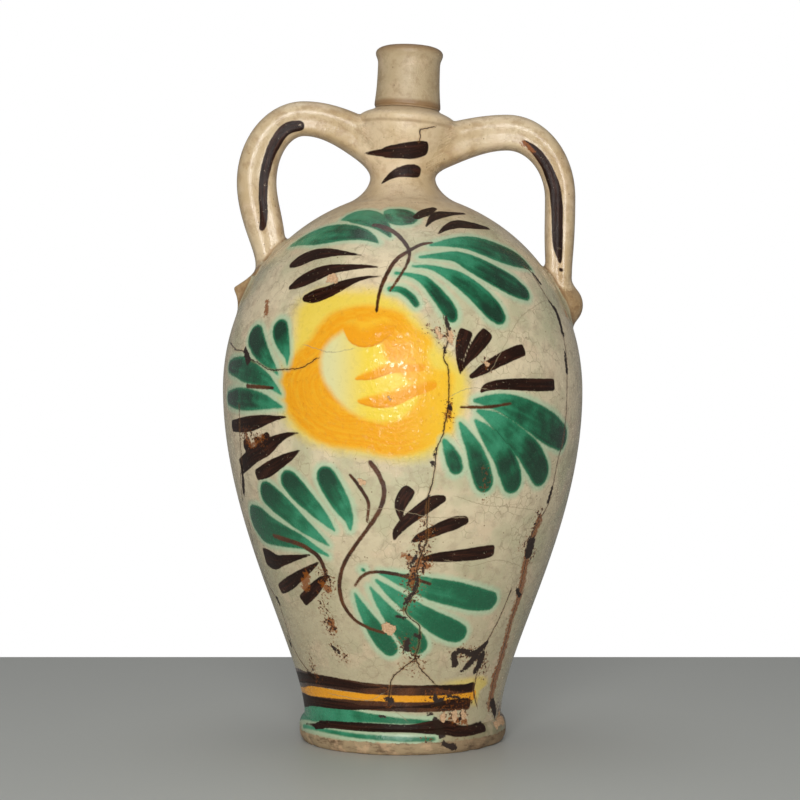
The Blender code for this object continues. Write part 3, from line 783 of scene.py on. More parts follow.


# The painting and the wear, drawn over the photo
# A stroke is its centre line in pixels of the 800 x 800 frame, with its width in pixels at each
# point. A crack has no width. Round strokes end in a round lift of the brush, blunt ones are cut.

paint = {
    "green": {
        "round": [
            # Upper right leaves
            [(431, 245, 3), (448, 243, 8), (467, 243, 12.5), (484, 247, 15.5), (502, 253.5, 15),
             (519, 260, 10), (530, 268, 3)],
            [(420, 257, 3), (439, 256, 7), (457, 257, 11.5), (473, 264, 17), (492, 274, 19),
             (510, 284, 18), (523, 292, 12)],
            [(413, 266, 3), (429, 267, 5), (444, 272, 9.5), (460, 280, 16), (478, 294, 19),
             (492, 309, 19.5), (498, 316, 15)],
            [(396, 273, 4), (411, 275, 5), (425, 281, 10.5), (438, 295, 14.5), (449, 310, 15.5),
             (452, 317, 12)],
            [(390, 289, 6), (401, 290, 7.5), (411, 297, 9), (416, 304, 8)],
            # Upper left leaves
            [(344, 219, 3), (355, 216, 10), (366, 217, 14), (376, 221, 15), (384, 228, 11),
             (390, 236, 4)],
            [(391, 212, 8), (399, 216, 17), (405, 218, 14)],
            [(292, 245, 3), (308, 238, 10), (327, 234, 15), (345, 232.5, 15), (362, 234.5, 11.5),
             (373, 239, 7), (378, 243, 2.5)],
            # Left fan
            [(287, 365, 2), (287, 356, 6), (284, 346, 12.5), (281, 335, 16.5), (280, 329, 16)],
            [(278, 375, 2), (273, 367, 7), (265.5, 358, 13), (259, 347, 16), (255, 337, 16)],
            [(281, 394, 2.5), (273, 386, 8), (264, 379, 15), (252, 373, 21), (241, 368, 23),
             (233, 366.5, 19), (230, 366.5, 12)],
            [(282, 407, 3), (272, 404, 10), (260, 401, 18), (247, 399.5, 23), (236, 398.5, 22),
             (229, 398.5, 16)],
            # Right fan
            [(475, 400.5, 5), (488, 401, 13), (502, 403, 20), (517, 409, 26), (532, 417, 29),
             (548, 427.5, 29), (561, 437, 21)],
            [(478, 411, 5), (490, 416.5, 13), (503, 426, 20), (518, 440, 24), (530, 453, 25),
             (538, 467, 22), (540.5, 473, 19)],
            [(476, 421, 5), (485, 431, 14), (495, 443, 21), (504, 457, 23), (510, 472, 23),
             (512.5, 482, 20)],
            [(460, 423, 4), (466, 434, 11), (474, 449, 17), (479, 464, 21), (483, 478, 21),
             (484.5, 483, 19)],
            [(444.5, 441, 6), (448.5, 449, 12), (453.5, 460, 16.5), (456, 467.5, 15.5)],
            # Lower left fan
            [(350, 529, 4), (348.5, 519, 10), (342, 506, 18), (334, 492, 21), (327.5, 480, 21),
             (326, 476, 19)],
            [(334, 530, 3), (326, 521, 9.5), (314, 508, 15), (301.5, 495, 18.5), (292, 484, 19),
             (289, 481, 18)],
            [(328, 545, 3), (318, 537, 8), (304, 526, 13.5), (290.5, 514, 17), (277, 502, 18.5),
             (268, 494, 17)],
            [(328, 555.5, 3), (314, 548, 7), (299, 541, 14), (282, 535, 19), (267, 528, 20),
             (257, 520, 15)],
            # Lower right fan
            [(380, 573, 4), (398, 578.5, 12), (418, 585, 19), (436, 590, 24), (455, 594, 26),
             (473, 598.5, 25), (489, 601, 20)],
            [(376.5, 580.5, 3.5), (389.5, 591, 10), (405.5, 603, 15), (421.5, 614, 19), (436, 623, 23),
             (450, 630, 24), (457.5, 633, 21)],
            [(370.5, 587.5, 3), (378.5, 600, 9), (389.5, 614.5, 15), (402, 628, 21), (413, 640, 24),
             (417.5, 645, 21)],
            [(355, 594, 3), (361.5, 607, 9), (371, 623, 14.5), (382, 639, 18.5), (389.5, 648.5, 16.5)],
            [(362.5, 569.5, 4), (363.5, 570, 4)],
        ],
        "blunt": [
            [(302, 712, 16), (336, 714.5, 16), (370, 718, 10), (400, 721, 7), (432, 722, 4)],
            [(303, 726, 4), (328, 731, 5), (354, 735.5, 5.5), (382, 738, 6), (410, 739.5, 6),
             (437, 739, 5)],
        ],
    },
    "brown": {
        "round": [
            # Right of the stem's crossing
            [(417, 217, 5), (425, 212.5, 6.5), (434, 208.5, 3)],
            [(426, 226.5, 1.5), (432, 219, 5.5), (440.5, 214.5, 6), (452, 213.5, 3.5),
             (464, 213.5, 1.8)],
            [(438.5, 233.5, 1.5), (447, 227.5, 5.5), (459, 224, 7), (474, 225.5, 5.5),
             (487.5, 228, 2.5)],
            # Upper left
            [(361, 255, 1), (341.5, 253, 5), (326.5, 253, 8.5), (313.5, 255, 9.5), (301, 260, 9),
             (293, 264, 5)],
            [(378, 267, 1), (364, 266.5, 4), (347, 267.5, 6.5), (330.5, 269.5, 9.5),
             (315.5, 274.5, 12), (301, 281.5, 10), (291, 287, 4)],
            [(381, 276, 1), (366, 277.5, 3), (353, 281, 6), (339.5, 286.5, 10), (327.5, 292, 11.5),
             (315.5, 296, 12.5), (306, 298, 7)],
            # Handle stripes
            [(299, 126, 11), (291, 127, 12), (283, 132, 12), (274.5, 145, 12), (268, 161, 10.5),
             (264, 178, 9.5), (263, 195, 9), (263.5, 210, 8.5), (263.5, 222, 7.5), (262, 228, 6)],
            [(524, 142, 4), (530, 146, 7), (538, 154, 9.5), (546, 166, 10.5), (551, 178, 11.5),
             (555, 190, 12), (557, 208, 12), (557.5, 230, 11.5), (558, 246, 10), (559.5, 256, 6),
             (560, 262, 3)],
            [(560, 269.5, 3.5), (561.5, 270, 3.5)],
            # Lower middle, and eroded blobs on the left
            [(411.5, 542, 2), (419, 537.5, 8), (430, 533, 10.5), (442.5, 527.5, 12.5), (455, 523, 13),
             (464, 520.5, 9)],
            [(394.5, 539, 3), (397.5, 531, 9), (407, 521, 11.5), (419, 511.5, 13.5),
             (431.5, 503, 13.5), (442, 499, 8)],
            [(264, 439, 8), (267, 436, 7)], [(246, 445, 6), (248, 448, 7)],
            [(256, 440, 5), (259, 442, 6)],
        ],
        "blunt": [
            # Neck
            [(364, 153.5, 1), (373, 153, 5), (382, 152.8, 8), (388, 152.2, 12), (400, 151, 15),
             (412, 150.2, 17.5), (421, 149, 16), (429, 147.8, 9)],
            [(382, 183, 1.5), (390, 176.5, 6), (399, 172.3, 10), (409, 170.8, 13), (415, 171.3, 13),
             (421, 173.4, 8.5)],
            # Right of the flower
            [(460, 374, 1.5), (460, 363, 6), (460.5, 352, 10.5), (463, 341, 14), (467, 329, 14)],
            [(460.5, 373, 1.5), (466, 363, 5), (474, 351, 12), (482, 340, 15), (489, 331, 13)],
            [(471.5, 376.5, 5), (483, 369.5, 10), (497, 361.5, 12.5), (510, 355, 13.5),
             (525, 349, 12.5)],
            [(481, 392, 2.5), (487, 387, 8), (502, 384.5, 10.5), (523, 384.5, 12.5), (541, 385, 13),
             (555, 384.5, 12.3)],
            # Left
            [(286, 417, 1.5), (276, 418, 5), (265, 420, 10.5), (253, 423, 15), (242.5, 425, 15.5),
             (231.5, 426, 11)],
            [(298, 433, 1.5), (287, 435, 5.5), (276, 440.5, 10.5), (265, 449, 14.5), (253, 456, 13.5),
             (240.5, 467, 9)],
            [(300, 450, 1.5), (289, 457, 9), (278.5, 463, 12.5), (266.5, 470.5, 14.5),
             (255.5, 475.5, 10.5)],
            # Lower left
            [(310, 555, 1.5), (299, 557, 5), (286.5, 559.5, 9.5), (275.5, 561, 12), (264, 556, 8)],
            [(319, 562, 1.5), (308, 570, 8), (297.5, 577.5, 12), (287, 585, 13.5),
             (279.5, 589.5, 10.5)],
            [(328, 576, 3), (320.5, 582, 10), (312.5, 591, 13), (302, 601.5, 12)],
            # Lower middle
            [(401.5, 521, 2), (400, 512, 8), (401, 503.5, 13), (405.5, 495, 15), (411.5, 487, 12)],
            [(422, 559, 4), (436, 557.5, 9), (455, 556, 11.5), (473, 554, 12.5), (486, 552, 12.5),
             (495, 550, 10)],
            # Bands at the foot
            [(297, 676.5, 5), (320, 680, 8.5), (340, 683, 8), (356, 686, 6.5), (372, 687, 2),
             (410, 687, 2), (434, 686.5, 3), (450, 688, 5), (465, 688, 7), (475, 685.5, 8)],
            [(301, 699, 7), (330, 704, 8), (352, 706.5, 7), (364, 707.5, 4), (410, 707, 2),
             (434, 706, 5), (450, 704, 9), (465, 703.5, 10), (471, 703, 9)],
            [(304.5, 723.4, 3), (336, 725.5, 7), (373, 727.9, 9.6), (410, 729, 9.3),
             (437.7, 727.7, 15.7), (465.4, 729.9, 13), (487, 725, 13)],
        ],
    },
    "brownWash": {
        "round": [
            # Stems
            [(374, 225, 3), (380, 226, 4), (394, 232, 4), (405, 243, 4), (409.5, 253, 3.5),
             (407, 264, 3), (398, 279, 3), (390, 291, 2.5)],
            [(376.6, 311, 3), (379, 295, 3.5), (384, 280, 4), (395, 261, 4), (407, 252, 3.5),
             (421, 244.5, 3), (432, 242.5, 2)],
            [(461, 407, 2.5), (487, 407, 3.5), (511, 403.5, 2.5)],
            [(247, 386, 4), (260, 387, 4), (273, 388, 3)],
            [(274, 536, 3), (285, 539.5, 4), (299, 544, 4), (308, 549, 4), (316.5, 555, 4),
             (322, 563, 4), (326, 575, 3)],
            [(370.5, 462.5, 5), (378, 473, 5), (383.5, 486, 5), (384, 495, 5), (381, 507, 4.5),
             (374.5, 519, 4.5), (366, 531, 4), (357.5, 542.5, 4), (349, 555, 4), (342.5, 568, 4),
             (339.5, 582, 4), (340, 592, 4), (342.5, 602.5, 3.5), (349, 613.5, 3.5), (357.5, 622, 3),
             (370, 628.5, 3), (384, 633, 2.5)],
            [(350, 475, 3), (356, 482, 3.5), (363, 492, 3.5), (368, 501.5, 3.5), (368.5, 510, 3),
             (367, 521, 2.5)],
            [(355, 585.5, 3), (361, 577.5, 3.5), (368.5, 573, 3.5), (381, 572, 3.5), (397, 574.5, 3.5),
             (412, 578, 3.5), (430, 584, 3)],
        ],
        "blunt": [
            [(297, 677, 9), (332, 683, 11), (369, 688.5, 11), (406, 690.5, 10.5), (447, 690, 10),
             (475, 687.5, 8)],
            [(301, 699, 6), (354, 704.5, 9), (410, 707.3, 10), (440, 706.5, 10), (471, 704.5, 9.5)],
        ],
    },
    "orange": {
        "blunt": [[(298, 688.5, 8), (345, 696, 9), (390, 699, 9), (435, 698.5, 8.5), (476, 695, 9.5)]],
    },
    "crack": {
        "round": [
            [(444, 318), (447, 328), (448, 342), (444.6, 351), (444, 360), (448, 367), (449, 384),
             (448.5, 405), (445, 422), (443, 435), (437, 448), (435, 467), (432, 484), (428, 498),
             (427, 523), (427, 540), (422.6, 551), (417, 569), (418, 586), (406, 607), (408.6, 617),
             (420, 628), (415.6, 656), (403, 668), (392, 679), (389, 699)],
            [(415.6, 656), (420, 668), (434, 683)],
            [(524.5, 267), (531.5, 272.6), (543, 291), (548, 299), (558, 315), (564.5, 342),
             (567, 365), (566.5, 409), (563, 441), (558, 460), (553, 486), (548, 505), (540, 519),
             (530, 540), (526, 561), (519, 593), (511, 621), (502.6, 652), (494, 679), (489, 710)],
            [(230, 342), (236, 350), (244, 351), (248, 358), (258, 363), (270, 370), (280, 369.6),
             (300, 368), (316, 359)],
            [(239, 406), (240, 439), (241.5, 462), (240.6, 479), (243, 504), (249, 525), (254, 548),
             (257, 557)],
            [(434, 127), (426, 128.5), (420, 130), (420.5, 135), (419, 141)],
            [(511, 590.5), (500, 617), (489, 638), (485, 643)],
            [(487, 642), (480, 662), (474, 690), (477, 706)],
            [(257, 557), (266, 580), (278, 602), (285, 622), (291, 642), (300, 660), (311, 674)],
        ],
    },
    "hairline": {
        "round": [
            [(456, 496.5), (484, 505), (510, 507), (539, 510.5)],
            [(359.5, 511), (372, 509), (393, 509), (409, 512.6), (428, 517), (449, 517.5),
             (465, 517.5)],
            [(305, 345), (330, 352), (352, 349)], [(452, 395), (470, 388), (486, 389)],
            [(545, 300), (520, 318), (505, 345), (490, 372)],
            [(330, 694), (352, 698), (370, 700), (382, 694)],
            [(446, 560), (470, 566), (498, 560), (520, 566)], [(396, 712), (402, 716), (406, 720)],
            [(300, 664), (308, 672), (313, 676)],
        ],
    },
    "chip": {
        "round": [
            [(329, 280, 6), (333, 278, 9), (336, 281, 5)], [(436, 329, 4), (440, 336, 7)],
            [(450.5, 330, 5), (450, 337, 8), (451, 343, 4)], [(486, 364.5, 6), (488, 365, 6)],
            [(360, 481, 6), (363, 482, 7)], [(387, 628, 12), (390, 630, 12)],
            [(442, 716, 8), (443, 719, 7)], [(454, 714, 7), (455, 718, 7)],
            [(462, 711, 5), (464, 717, 6)], [(389, 398, 4), (391, 399, 4)],
            [(497, 724, 8), (503, 718, 9)], [(566, 312, 5), (566, 314, 5)],
            [(431, 160, 3), (432, 161, 3)],
        ],
    },
    "stain": {
        "round": [
            [(540, 519, 4), (530, 545, 5), (526, 561, 5), (520, 593, 5), (511, 621, 4),
             (503, 652, 4.5), (495, 679, 5.5), (490, 706, 4)],
            [(267, 302, 3), (266, 314, 4)], [(307, 576, 7), (305, 586, 8)],
            [(322, 584, 4), (328, 590, 6)], [(246, 437, 3), (252, 445, 4), (262, 437, 4)],
            [(451, 405, 3), (447, 416, 4)], [(404, 556, 4), (422, 562, 5)],
            [(430, 566, 5), (414, 568, 5), (413, 590, 4)], [(452, 719, 5), (466, 722, 4)],
            [(521, 141, 3), (533, 151, 4)], [(331, 621, 6), (333, 629, 6)],
        ],
    },
    # Areas where the glaze has come off in small flecks
    "fleck": {
        "round": [
            [(424, 540, 14), (420, 556, 26), (416, 572, 24), (412, 592, 20), (405, 608, 12)],
            [(424, 520, 8), (430, 532, 12)],
            [(322, 572, 10), (330, 584, 12), (322, 602, 8), (328, 618, 8)],
            [(329, 622, 14), (332, 632, 10)], [(334, 646, 8), (342, 656, 10)],
            [(402, 640, 10), (410, 652, 16), (420, 664, 10)], [(385, 690, 6), (388, 702, 10)],
            [(430, 696, 12), (470, 700, 10)], [(424, 742, 10), (444, 752, 16), (470, 744, 8)],
            [(404, 664, 8), (418, 672, 8)], [(458, 652, 14), (478, 656, 16), (484, 672, 8)],
            [(524, 546, 10), (531, 556, 12)], [(244, 436, 12), (262, 440, 12)],
            [(448, 402, 6), (450, 418, 10)], [(438, 708, 10), (462, 718, 16)],
            [(486, 360, 5), (489, 366, 6)], [(540, 512, 6), (530, 540, 8)],
            [(432, 330, 12), (452, 338, 12)], [(490, 704, 8), (503, 716, 12)],
            [(310, 660, 6), (316, 676, 6)], [(236, 500, 4), (246, 545, 4)],
            [(486, 470, 3), (484, 500, 4)],
        ],
    },
    "flake": {
        "round": [
            [(455, 665, 6), (454, 656, 6), (461, 651, 5), (473, 654, 6), (481, 649, 5),
             (487, 642, 2.5)],
            [(462, 671, 3), (470, 663, 5), (476, 656, 5)],
            [(482, 655, 5), (479, 664, 5), (475, 672, 3)], [(531, 543, 7), (529, 553, 6)],
            [(386, 699, 4), (391, 700, 6)], [(380, 716, 2.5), (385, 716.5, 3)],
            [(428, 714, 3), (432, 714, 2)], [(435, 697, 5), (438, 704, 6), (442, 700, 4)],
            [(446, 316, 2), (449, 329, 3)], [(449, 405, 3), (451, 409, 3)],
            [(517, 590, 3), (520, 596, 3)], [(492, 702, 4), (495, 713, 4)],
            [(444, 744, 5), (455, 748, 7)], [(384, 753, 3), (388, 754, 3)],
            [(435, 720, 6), (441, 734, 8)], [(332, 646, 2), (334, 648, 3)],
            [(337, 652, 2), (339, 653, 2)], [(416, 556, 3), (411, 566, 3)],
            [(418, 578, 3), (414, 590, 3), (405, 603, 3)], [(408, 640, 5), (406, 650, 5)],
            [(415, 635, 3), (420, 637, 4)], [(245, 350, 3), (248, 360, 5)],
            [(396, 616, 2), (405, 618, 3)], [(448, 696, 3), (468, 700, 2)],
            [(549, 301, 1), (557, 313, 3), (563, 334, 2.5)], [(564.5, 350, 1), (567, 372, 2.5)],
            [(533, 273, 1), (540, 283, 2)], [(241, 461, 1), (243, 480, 3), (243.5, 500, 2.5)],
            [(248, 521, 2), (252, 536, 2.5)], [(256, 552, 1.5), (259, 562, 2)],
            [(288, 636, 2.5), (291, 645, 3)], [(308, 672, 2), (313, 677, 2.5)],
            [(277, 598, 2.5), (279, 603, 2)], [(552, 488, 2), (548, 502, 2)],
            [(444, 347, 2), (445, 352, 2.5)], [(426, 500, 2.5), (429, 496, 2.5)],
            [(432, 462, 3), (433, 466, 3)], [(436, 447, 2), (434, 456, 2)],
        ],
    },
}
# Closed outlines of the flower, and the brush lobes that reach into its light middle. It lies
# within a square of pixels, given by its centre and half its side, and so do the lobes.
flower = {
    "square": ((370, 375), 125), "lobeSquare": ((386, 366), 60), "pixelsPerMm": 1.88,
    "wash": [
        (352, 286), (378, 287), (412, 306), (440, 342), (464, 366), (472, 386), (468, 410), (456, 434),
        (430, 458), (404, 463), (372, 459), (340, 454), (312, 446), (292, 433), (280, 413), (277, 394),
        (279, 374), (287, 352), (290, 330), (293, 308), (305, 295), (327, 287)],
    "ring": [
        (364, 303), (335, 309.5), (319, 323), (308, 339), (291, 355), (281, 374), (280, 390), (283, 407),
        (291, 421), (304, 434), (322, 445), (343, 450), (362, 452), (382, 457), (402, 458), (422, 453),
        (437, 446), (444, 439), (455.5, 430), (458, 418), (454, 404.5), (455.5, 387), (455.5, 374),
        (447.5, 369), (435, 366), (430, 355), (434, 346), (432.5, 336), (422, 329.5), (412.5, 321.5),
        (402, 311), (382, 305.5)],
    "middle": [
        (343, 329), (329, 339), (321.5, 349), (318.5, 363), (321, 378), (327, 389), (337, 402),
        (349, 413), (364, 421), (378, 424), (391, 424), (403, 420), (413, 411), (419, 402), (421, 394),
        (416, 386), (412, 381), (405, 375), (394, 367), (386, 353), (384, 343), (370, 330), (353, 326)],
    "lobes": [
        [(353, 328, 20), (360, 334, 26), (371, 333, 27), (384, 327, 22)],
        [(356.5, 378.5, 4), (364, 376, 9), (374, 373.5, 12), (388, 368, 13), (404, 366, 13),
         (420, 366, 12)],
        [(360, 401, 6), (368, 400.5, 12), (380, 400, 17), (394, 397, 19), (408, 391, 17),
         (430, 384, 14)]],
}


# Photo pixels, and where the camera's rays through them meet the clay

focal = camera["lens"] / camera["sensor"] * camera["frame"]
imageCentre = camera["frame"] / 2 + np.array([-camera["shift"][0], camera["shift"][1]])


def pixelOf(points):
    away = points - np.array(camera["place"])
    return imageCentre + focal * np.stack([away[:, 0], -away[:, 2]], axis=1) / away[:, 1:2]


# The clay's skin with the foot ring that stands out below it
def skinField(points):
    field = clayField(points)
    low = points[:, 2] < body["ankleHeight"]
    field[low] = np.minimum(field[low], np.hypot(points[low, 0], points[low, 1]) - footRadius)
    return field


# The camera's rays start this far out, in front of the jug, and give up behind its middle, in mm
ray = {"start": 1025, "end": 60, "rounds": 60, "close": 0.05}


def onClay(pixels):
    flat = (np.asarray(pixels, float) - imageCentre) / focal
    rays = np.column_stack([flat[:, 0], np.ones(len(flat)), -flat[:, 1]])
    rays /= np.linalg.norm(rays, axis=1)[:, None]
    place = np.array(camera["place"]) + ray["start"] * rays
    best, nearest = place.copy(), np.full(len(rays), 1e3)
    active = np.arange(len(rays))
    for turn in range(ray["rounds"]):
        gap = skinField(place[active])
        closer = gap < nearest[active]
        best[active[closer]] = place[active[closer]]
        nearest[active[closer]] = gap[closer]
        # The handles are only felt close by, so no step jumps past where they stand
        longest = np.maximum(-felt["from"] - place[active, 1], 5)
        place[active] += np.clip(0.9 * gap, ray["close"], longest)[:, None] * rays[active]
        active = active[(gap > ray["close"]) & (place[active, 1] < ray["end"])]
        if not len(active):
            break
    return best


def throughPoints(points, step, closed=False):
    points = np.asarray(points, float)
    before, after = 2 * points[0] - points[1], 2 * points[-1] - points[-2]
    if closed:
        points = np.concatenate([points, points[:1]])
        before, after = points[-2], points[1]
    knots = np.concatenate([[before], points, [after]])
    rows = []
    t = np.linspace(0, 1, 12, endpoint=False)[:, None]
    for a, b, c, d in zip(knots[:-3], knots[1:-2], knots[2:-1], knots[3:]):
        bend, twist = 2 * a - 5 * b + 4 * c - d, 3 * b - a - 3 * c + d
        rows.append(0.5 * (2 * b + (c - a) * t + bend * t**2 + twist * t**3))
    return evenly(np.concatenate(rows + [points[-1:]]), step)


def layStrokes(channel):
    drawn = []
    for ending, strokes in channel.items():
        for points in strokes:
            points = np.array([tuple(point) + (0,) * (3 - len(point)) for point in points], float)
            line = throughPoints(points, 2.5)
            half = np.maximum(line[:, 2] / 2, 0.3 if points[:, 2].any() else 0)
            line = line[:, :2]
            along = np.gradient(line, axis=0)
            along /= np.maximum(np.linalg.norm(along, axis=1), 1e-6)[:, None]
            side = np.stack([-along[:, 1], along[:, 0]], axis=1) * np.maximum(half, 0.5)[:, None]
            drawn.append([ending == "blunt", half.any(), line, line + side, line - side])
    pixels = np.concatenate([part for stroke in drawn for part in stroke[2:]])
    places = onClay(pixels)
    laid = []
    there = 0
    for cut, wide, line, *sides in drawn:
        middle, first, second = places[there:there + 3 * len(line)].reshape(3, len(line), 3)
        there += 3 * len(line)
        half = np.linalg.norm(first - second, axis=1) / 2 if wide else np.zeros(len(line))
        # A ray that grazes the outline can miss it, so no width jumps far above the stroke's own
        pixelHalf = np.linalg.norm(sides[0] - sides[1], axis=1) / 2
        half = np.minimum(half, pixelHalf * 1.25)
        laid.append((cut, np.linspace(0, 1, len(line)), middle, half))
    return laid


# The foot bands run on round the back, out of the photo's sight. Each has its height and width
# in mm at the left outline.
roundBack = {"from": 86, "to": 250, "step": 2.0, "sway": 0.7, "radii": (50.0, 80.0), "taper": 0.35}
backBands = {"brown": [(34.8, 7.2), (22.6, 5.8)], "orange": [(28.8, 5.6)], "green": [(16.0, 7.2)]}


def layBackBands(name):
    angles = np.radians(np.arange(roundBack["from"], roundBack["to"], roundBack["step"]))
    laid = []
    for height, width in backBands.get(name, []):
        level = height + roundBack["sway"] * np.sin(2 * angles)
        near, far = [np.full(len(angles), radius) for radius in roundBack["radii"]]
        for halving in range(18):
            radius = (near + far) / 2
            places = np.stack([-radius * np.sin(angles), -radius * np.cos(angles), level], axis=1)
            inside = skinField(places) < 0
            near, far = np.where(inside, radius, near), np.where(inside, far, radius)
        half = width / 2 * (1 - roundBack["taper"] * eased(angles, angles[-1] - 0.5, angles[-1]))
        laid.append((True, np.linspace(0, 1, len(angles)), places, half))
    return laid


# What a layer holds where nothing of it is near, and how far beyond a stroke it is measured, in mm
farAway = 40.0
measured = 9
# A blunt stroke's end is cut in its last stretch: the share from where, and mm short and soft
blunt = {"from": 0.6, "short": 0.4, "softness": 2.0}


# For each point: distance to the edge of the nearest stroke in mm (negative inside), signed
# distance across it in mm, and twice the stroke's number plus the share of its length
def strokeValues(points, normals, laid):
    values = np.tile([farAway, farAway, 0.0], (len(points), 1))
    outside = np.abs(normals).sum(1) > 0.1
    for number, (cut, t, line, half) in enumerate(laid):
        reach = half.max() + measured
        near = outside & (points > line.min(0) - reach).all(1) & (points < line.max(0) + reach).all(1)
        near = np.flatnonzero(near)
        if not len(near):
            continue
        share, away = awayFrom(points[near], line)
        gap = away - (half[:-1] + np.diff(half) * share)
        chosen = gap.argmin(1)
        row = np.arange(len(near))
        gap, away, share = gap[row, chosen], away[row, chosen], share[row, chosen]
        step = np.diff(line, axis=0)
        if cut:
            beyond = (points[near] - line[-1]) @ (step[-1] / np.linalg.norm(step[-1]))
            ended = -softJoin(-gap, -beyond - blunt["short"], blunt["softness"])
            gap = np.where(t[chosen] > blunt["from"], ended, gap)
        turn = np.cross(step[chosen], points[near] - line[chosen])
        across = away * np.sign((turn * normals[near]).sum(1))
        better = gap < values[near, 0]
        fresh = np.stack([gap, across, 2 * number + t[chosen] + np.diff(t)[chosen] * share], axis=1)
        values[near[better]] = fresh[better]
    return values


def outlineDistance(points, outline):
    closed = throughPoints(outline, 2.0, True)
    away = awayFrom(points, closed)[1].min(1)
    step = np.diff(closed, axis=0)
    below, above = closed[:-1, 1], closed[1:, 1]
    height = points[:, 1][:, None]
    at = closed[:-1, 0] + (height - below) / np.where(step[:, 1] == 0, 1e-9, step[:, 1]) * step[:, 0]
    crossed = ((height >= below) != (height >= above)) & (points[:, 0][:, None] < at)
    return np.where(crossed.sum(1) % 2 == 1, -away, away)


# The flower is drawn flat, as seen from the front: distances in mm to its wash, ring and light
# middle, then the distance to the lobes' edge and how far below their line a point is
def flowerValues(points, normals):
    outlines, lobes = np.full((2, len(points), 3), farAway)
    pixels = pixelOf(points)
    facing = (points[:, 1] < 0) & (normals[:, 1] < -0.2)
    near, nearLobes = [
        facing & (np.abs(pixels - centre) < half).all(1)
        for centre, half in (flower["square"], flower["lobeSquare"])]
    for column, name in enumerate(("wash", "ring", "middle")):
        outlines[near, column] = outlineDistance(pixels[near], flower[name]) / flower["pixelsPerMm"]
    part = pixels[nearLobes]
    best, below = np.full(len(part), farAway), np.zeros(len(part))
    for knots in flower["lobes"]:
        line = throughPoints(knots, 2.0)
        half = line[:, 2] / 2
        away = (np.linalg.norm(part[:, None] - line[:, :2], axis=2) - half) / flower["pixelsPerMm"]
        nearest = away.argmin(1)
        away = away.min(1)
        side = (part[:, 1] - line[nearest, 1]) / np.maximum(half[nearest], 1)
        best, below = np.where(away < best, (away, side), (best, below))
    lobes[nearLobes, 0] = best
    lobes[nearLobes, 1] = below
    return outlines, lobes


laidPaint = {name: layStrokes(channel) + layBackBands(name) for name, channel in paint.items()}
print("scene: strokes laid on the clay")


# Where wear and dirt show, in mm: at the handles' ends, below a height; in the turned grooves, where the
# # darkening is painted shade, as height above the tube's or collar's seat and half width, no further out
# # than the collar's edge with a little beside it; and at the lip, as a share of the way down and what is
# added
worn = {
    "endsBelow": 300, "tubeGroove": (2.4, 0.6), "collarGroove": (0.6, -1.2), "beside": 1.2,
    "lip": (0.38, 0.2),
}


def paintOn(piece, points, normals):
    values = {name: strokeValues(points, normals, laid) for name, laid in laidPaint.items()}
    values["flower"], values["lobe"] = flowerValues(points, normals)
    # How far a point is from the nearest of those places
    straight = unleaned(points)
    upright = straight[:, 2]
    ends = np.abs(potField(points) - attachedField(points)) + np.abs(clayField(points))
    ends = np.where(points[:, 2] < worn["endsBelow"], ends, farAway)
    grooves = np.minimum(*[
        np.abs(upright - seat - rise) - half
        for seat, (rise, half) in ((tubeSeat, worn["tubeGroove"]), (collarSeat, worn["collarGroove"]))])
    onTurned = np.hypot(straight[:, 0], straight[:, 1]) < collar["radius"] + worn["beside"]
    grooves = np.where(onTurned, grooves, farAway)
    lip = (tubeTop - upright) * worn["lip"][0] + worn["lip"][1]
    joint = np.minimum(np.minimum(ends, grooves), lip)
    joint = np.where(np.abs(normals).sum(1) > 0.1, joint, farAway)
    values["joint"] = np.stack([joint] * 3, axis=1)
    for name, rows in values.items():
        layer = piece.data.attributes.new(name, "FLOAT_VECTOR", "POINT")
        layer.data.foreach_set("vector", np.ascontiguousarray(rows, dtype=np.float32).ravel())


bodyPiece = makeBody()
neckPiece = makeNeck()
collarPiece = makeCollar()
tubePiece = makeMouthTube()
footPiece = makeFoot()
tree, sockets = strapTree()
clay = bpy.data.materials.new("plain clay")
leftPiece = makeHandle("left_handle_clay", leftHandle, tree, sockets, clay)
rightPiece = makeHandle("right_handle_clay", rightHandle, tree, sockets, clay)
nubPiece = makeLump("left_handle_nub_clay", "nub", nubField, nub)
bossPiece = makeLump("right_handle_boss_clay", "boss", bossField, boss)
bpy.data.node_groups.remove(tree)
print("scene: clay shaped")


# Materials

def hexColour(text):
    parts = [int(text[i:i + 2], 16) / 255 for i in (1, 3, 5)]
    return tuple(p / 12.92 if p <= 0.04045 else ((p + 0.055) / 1.055) ** 2.4 for p in parts) + (1,)


def newMaterial(name):
    material = bpy.data.materials.new(name)
    material.use_nodes = True
    material.node_tree.nodes.clear()
    return material, material.node_tree


# Colours of the glaze as fired: copper green, manganese brown and antimony yellow on cream tin
# glaze, with worn and dirty places, cracks and the bare clay
glazeColours = {
    "pinkCream": "#D8BE9E", "worn": "#8E6E4A", "speck": "#6E5238", "craze": "#9A8B6E",
    "green": "#1F6D49", "greenDeep": "#1B3A29", "greenThin": "#3F946F", "halo": "#AAC8A4",
    "brown": "#24150F", "brownThin": "#42251A", "brownWash": "#5C3419", "orange": "#E79C1E",
    "orangeThin": "#EDBE36", "orangeDeep": "#CB7C1C", "wash": "#E8CA44", "middle": "#D5D09A",
    "crack": "#2A1C12", "rust": "#9A6A3A", "terracotta": "#D2AE88", "amber": "#884B18",
    "flake": "#2C1D14", "bareClay": "#A58E6C", "bareDark": "#563C26",
}


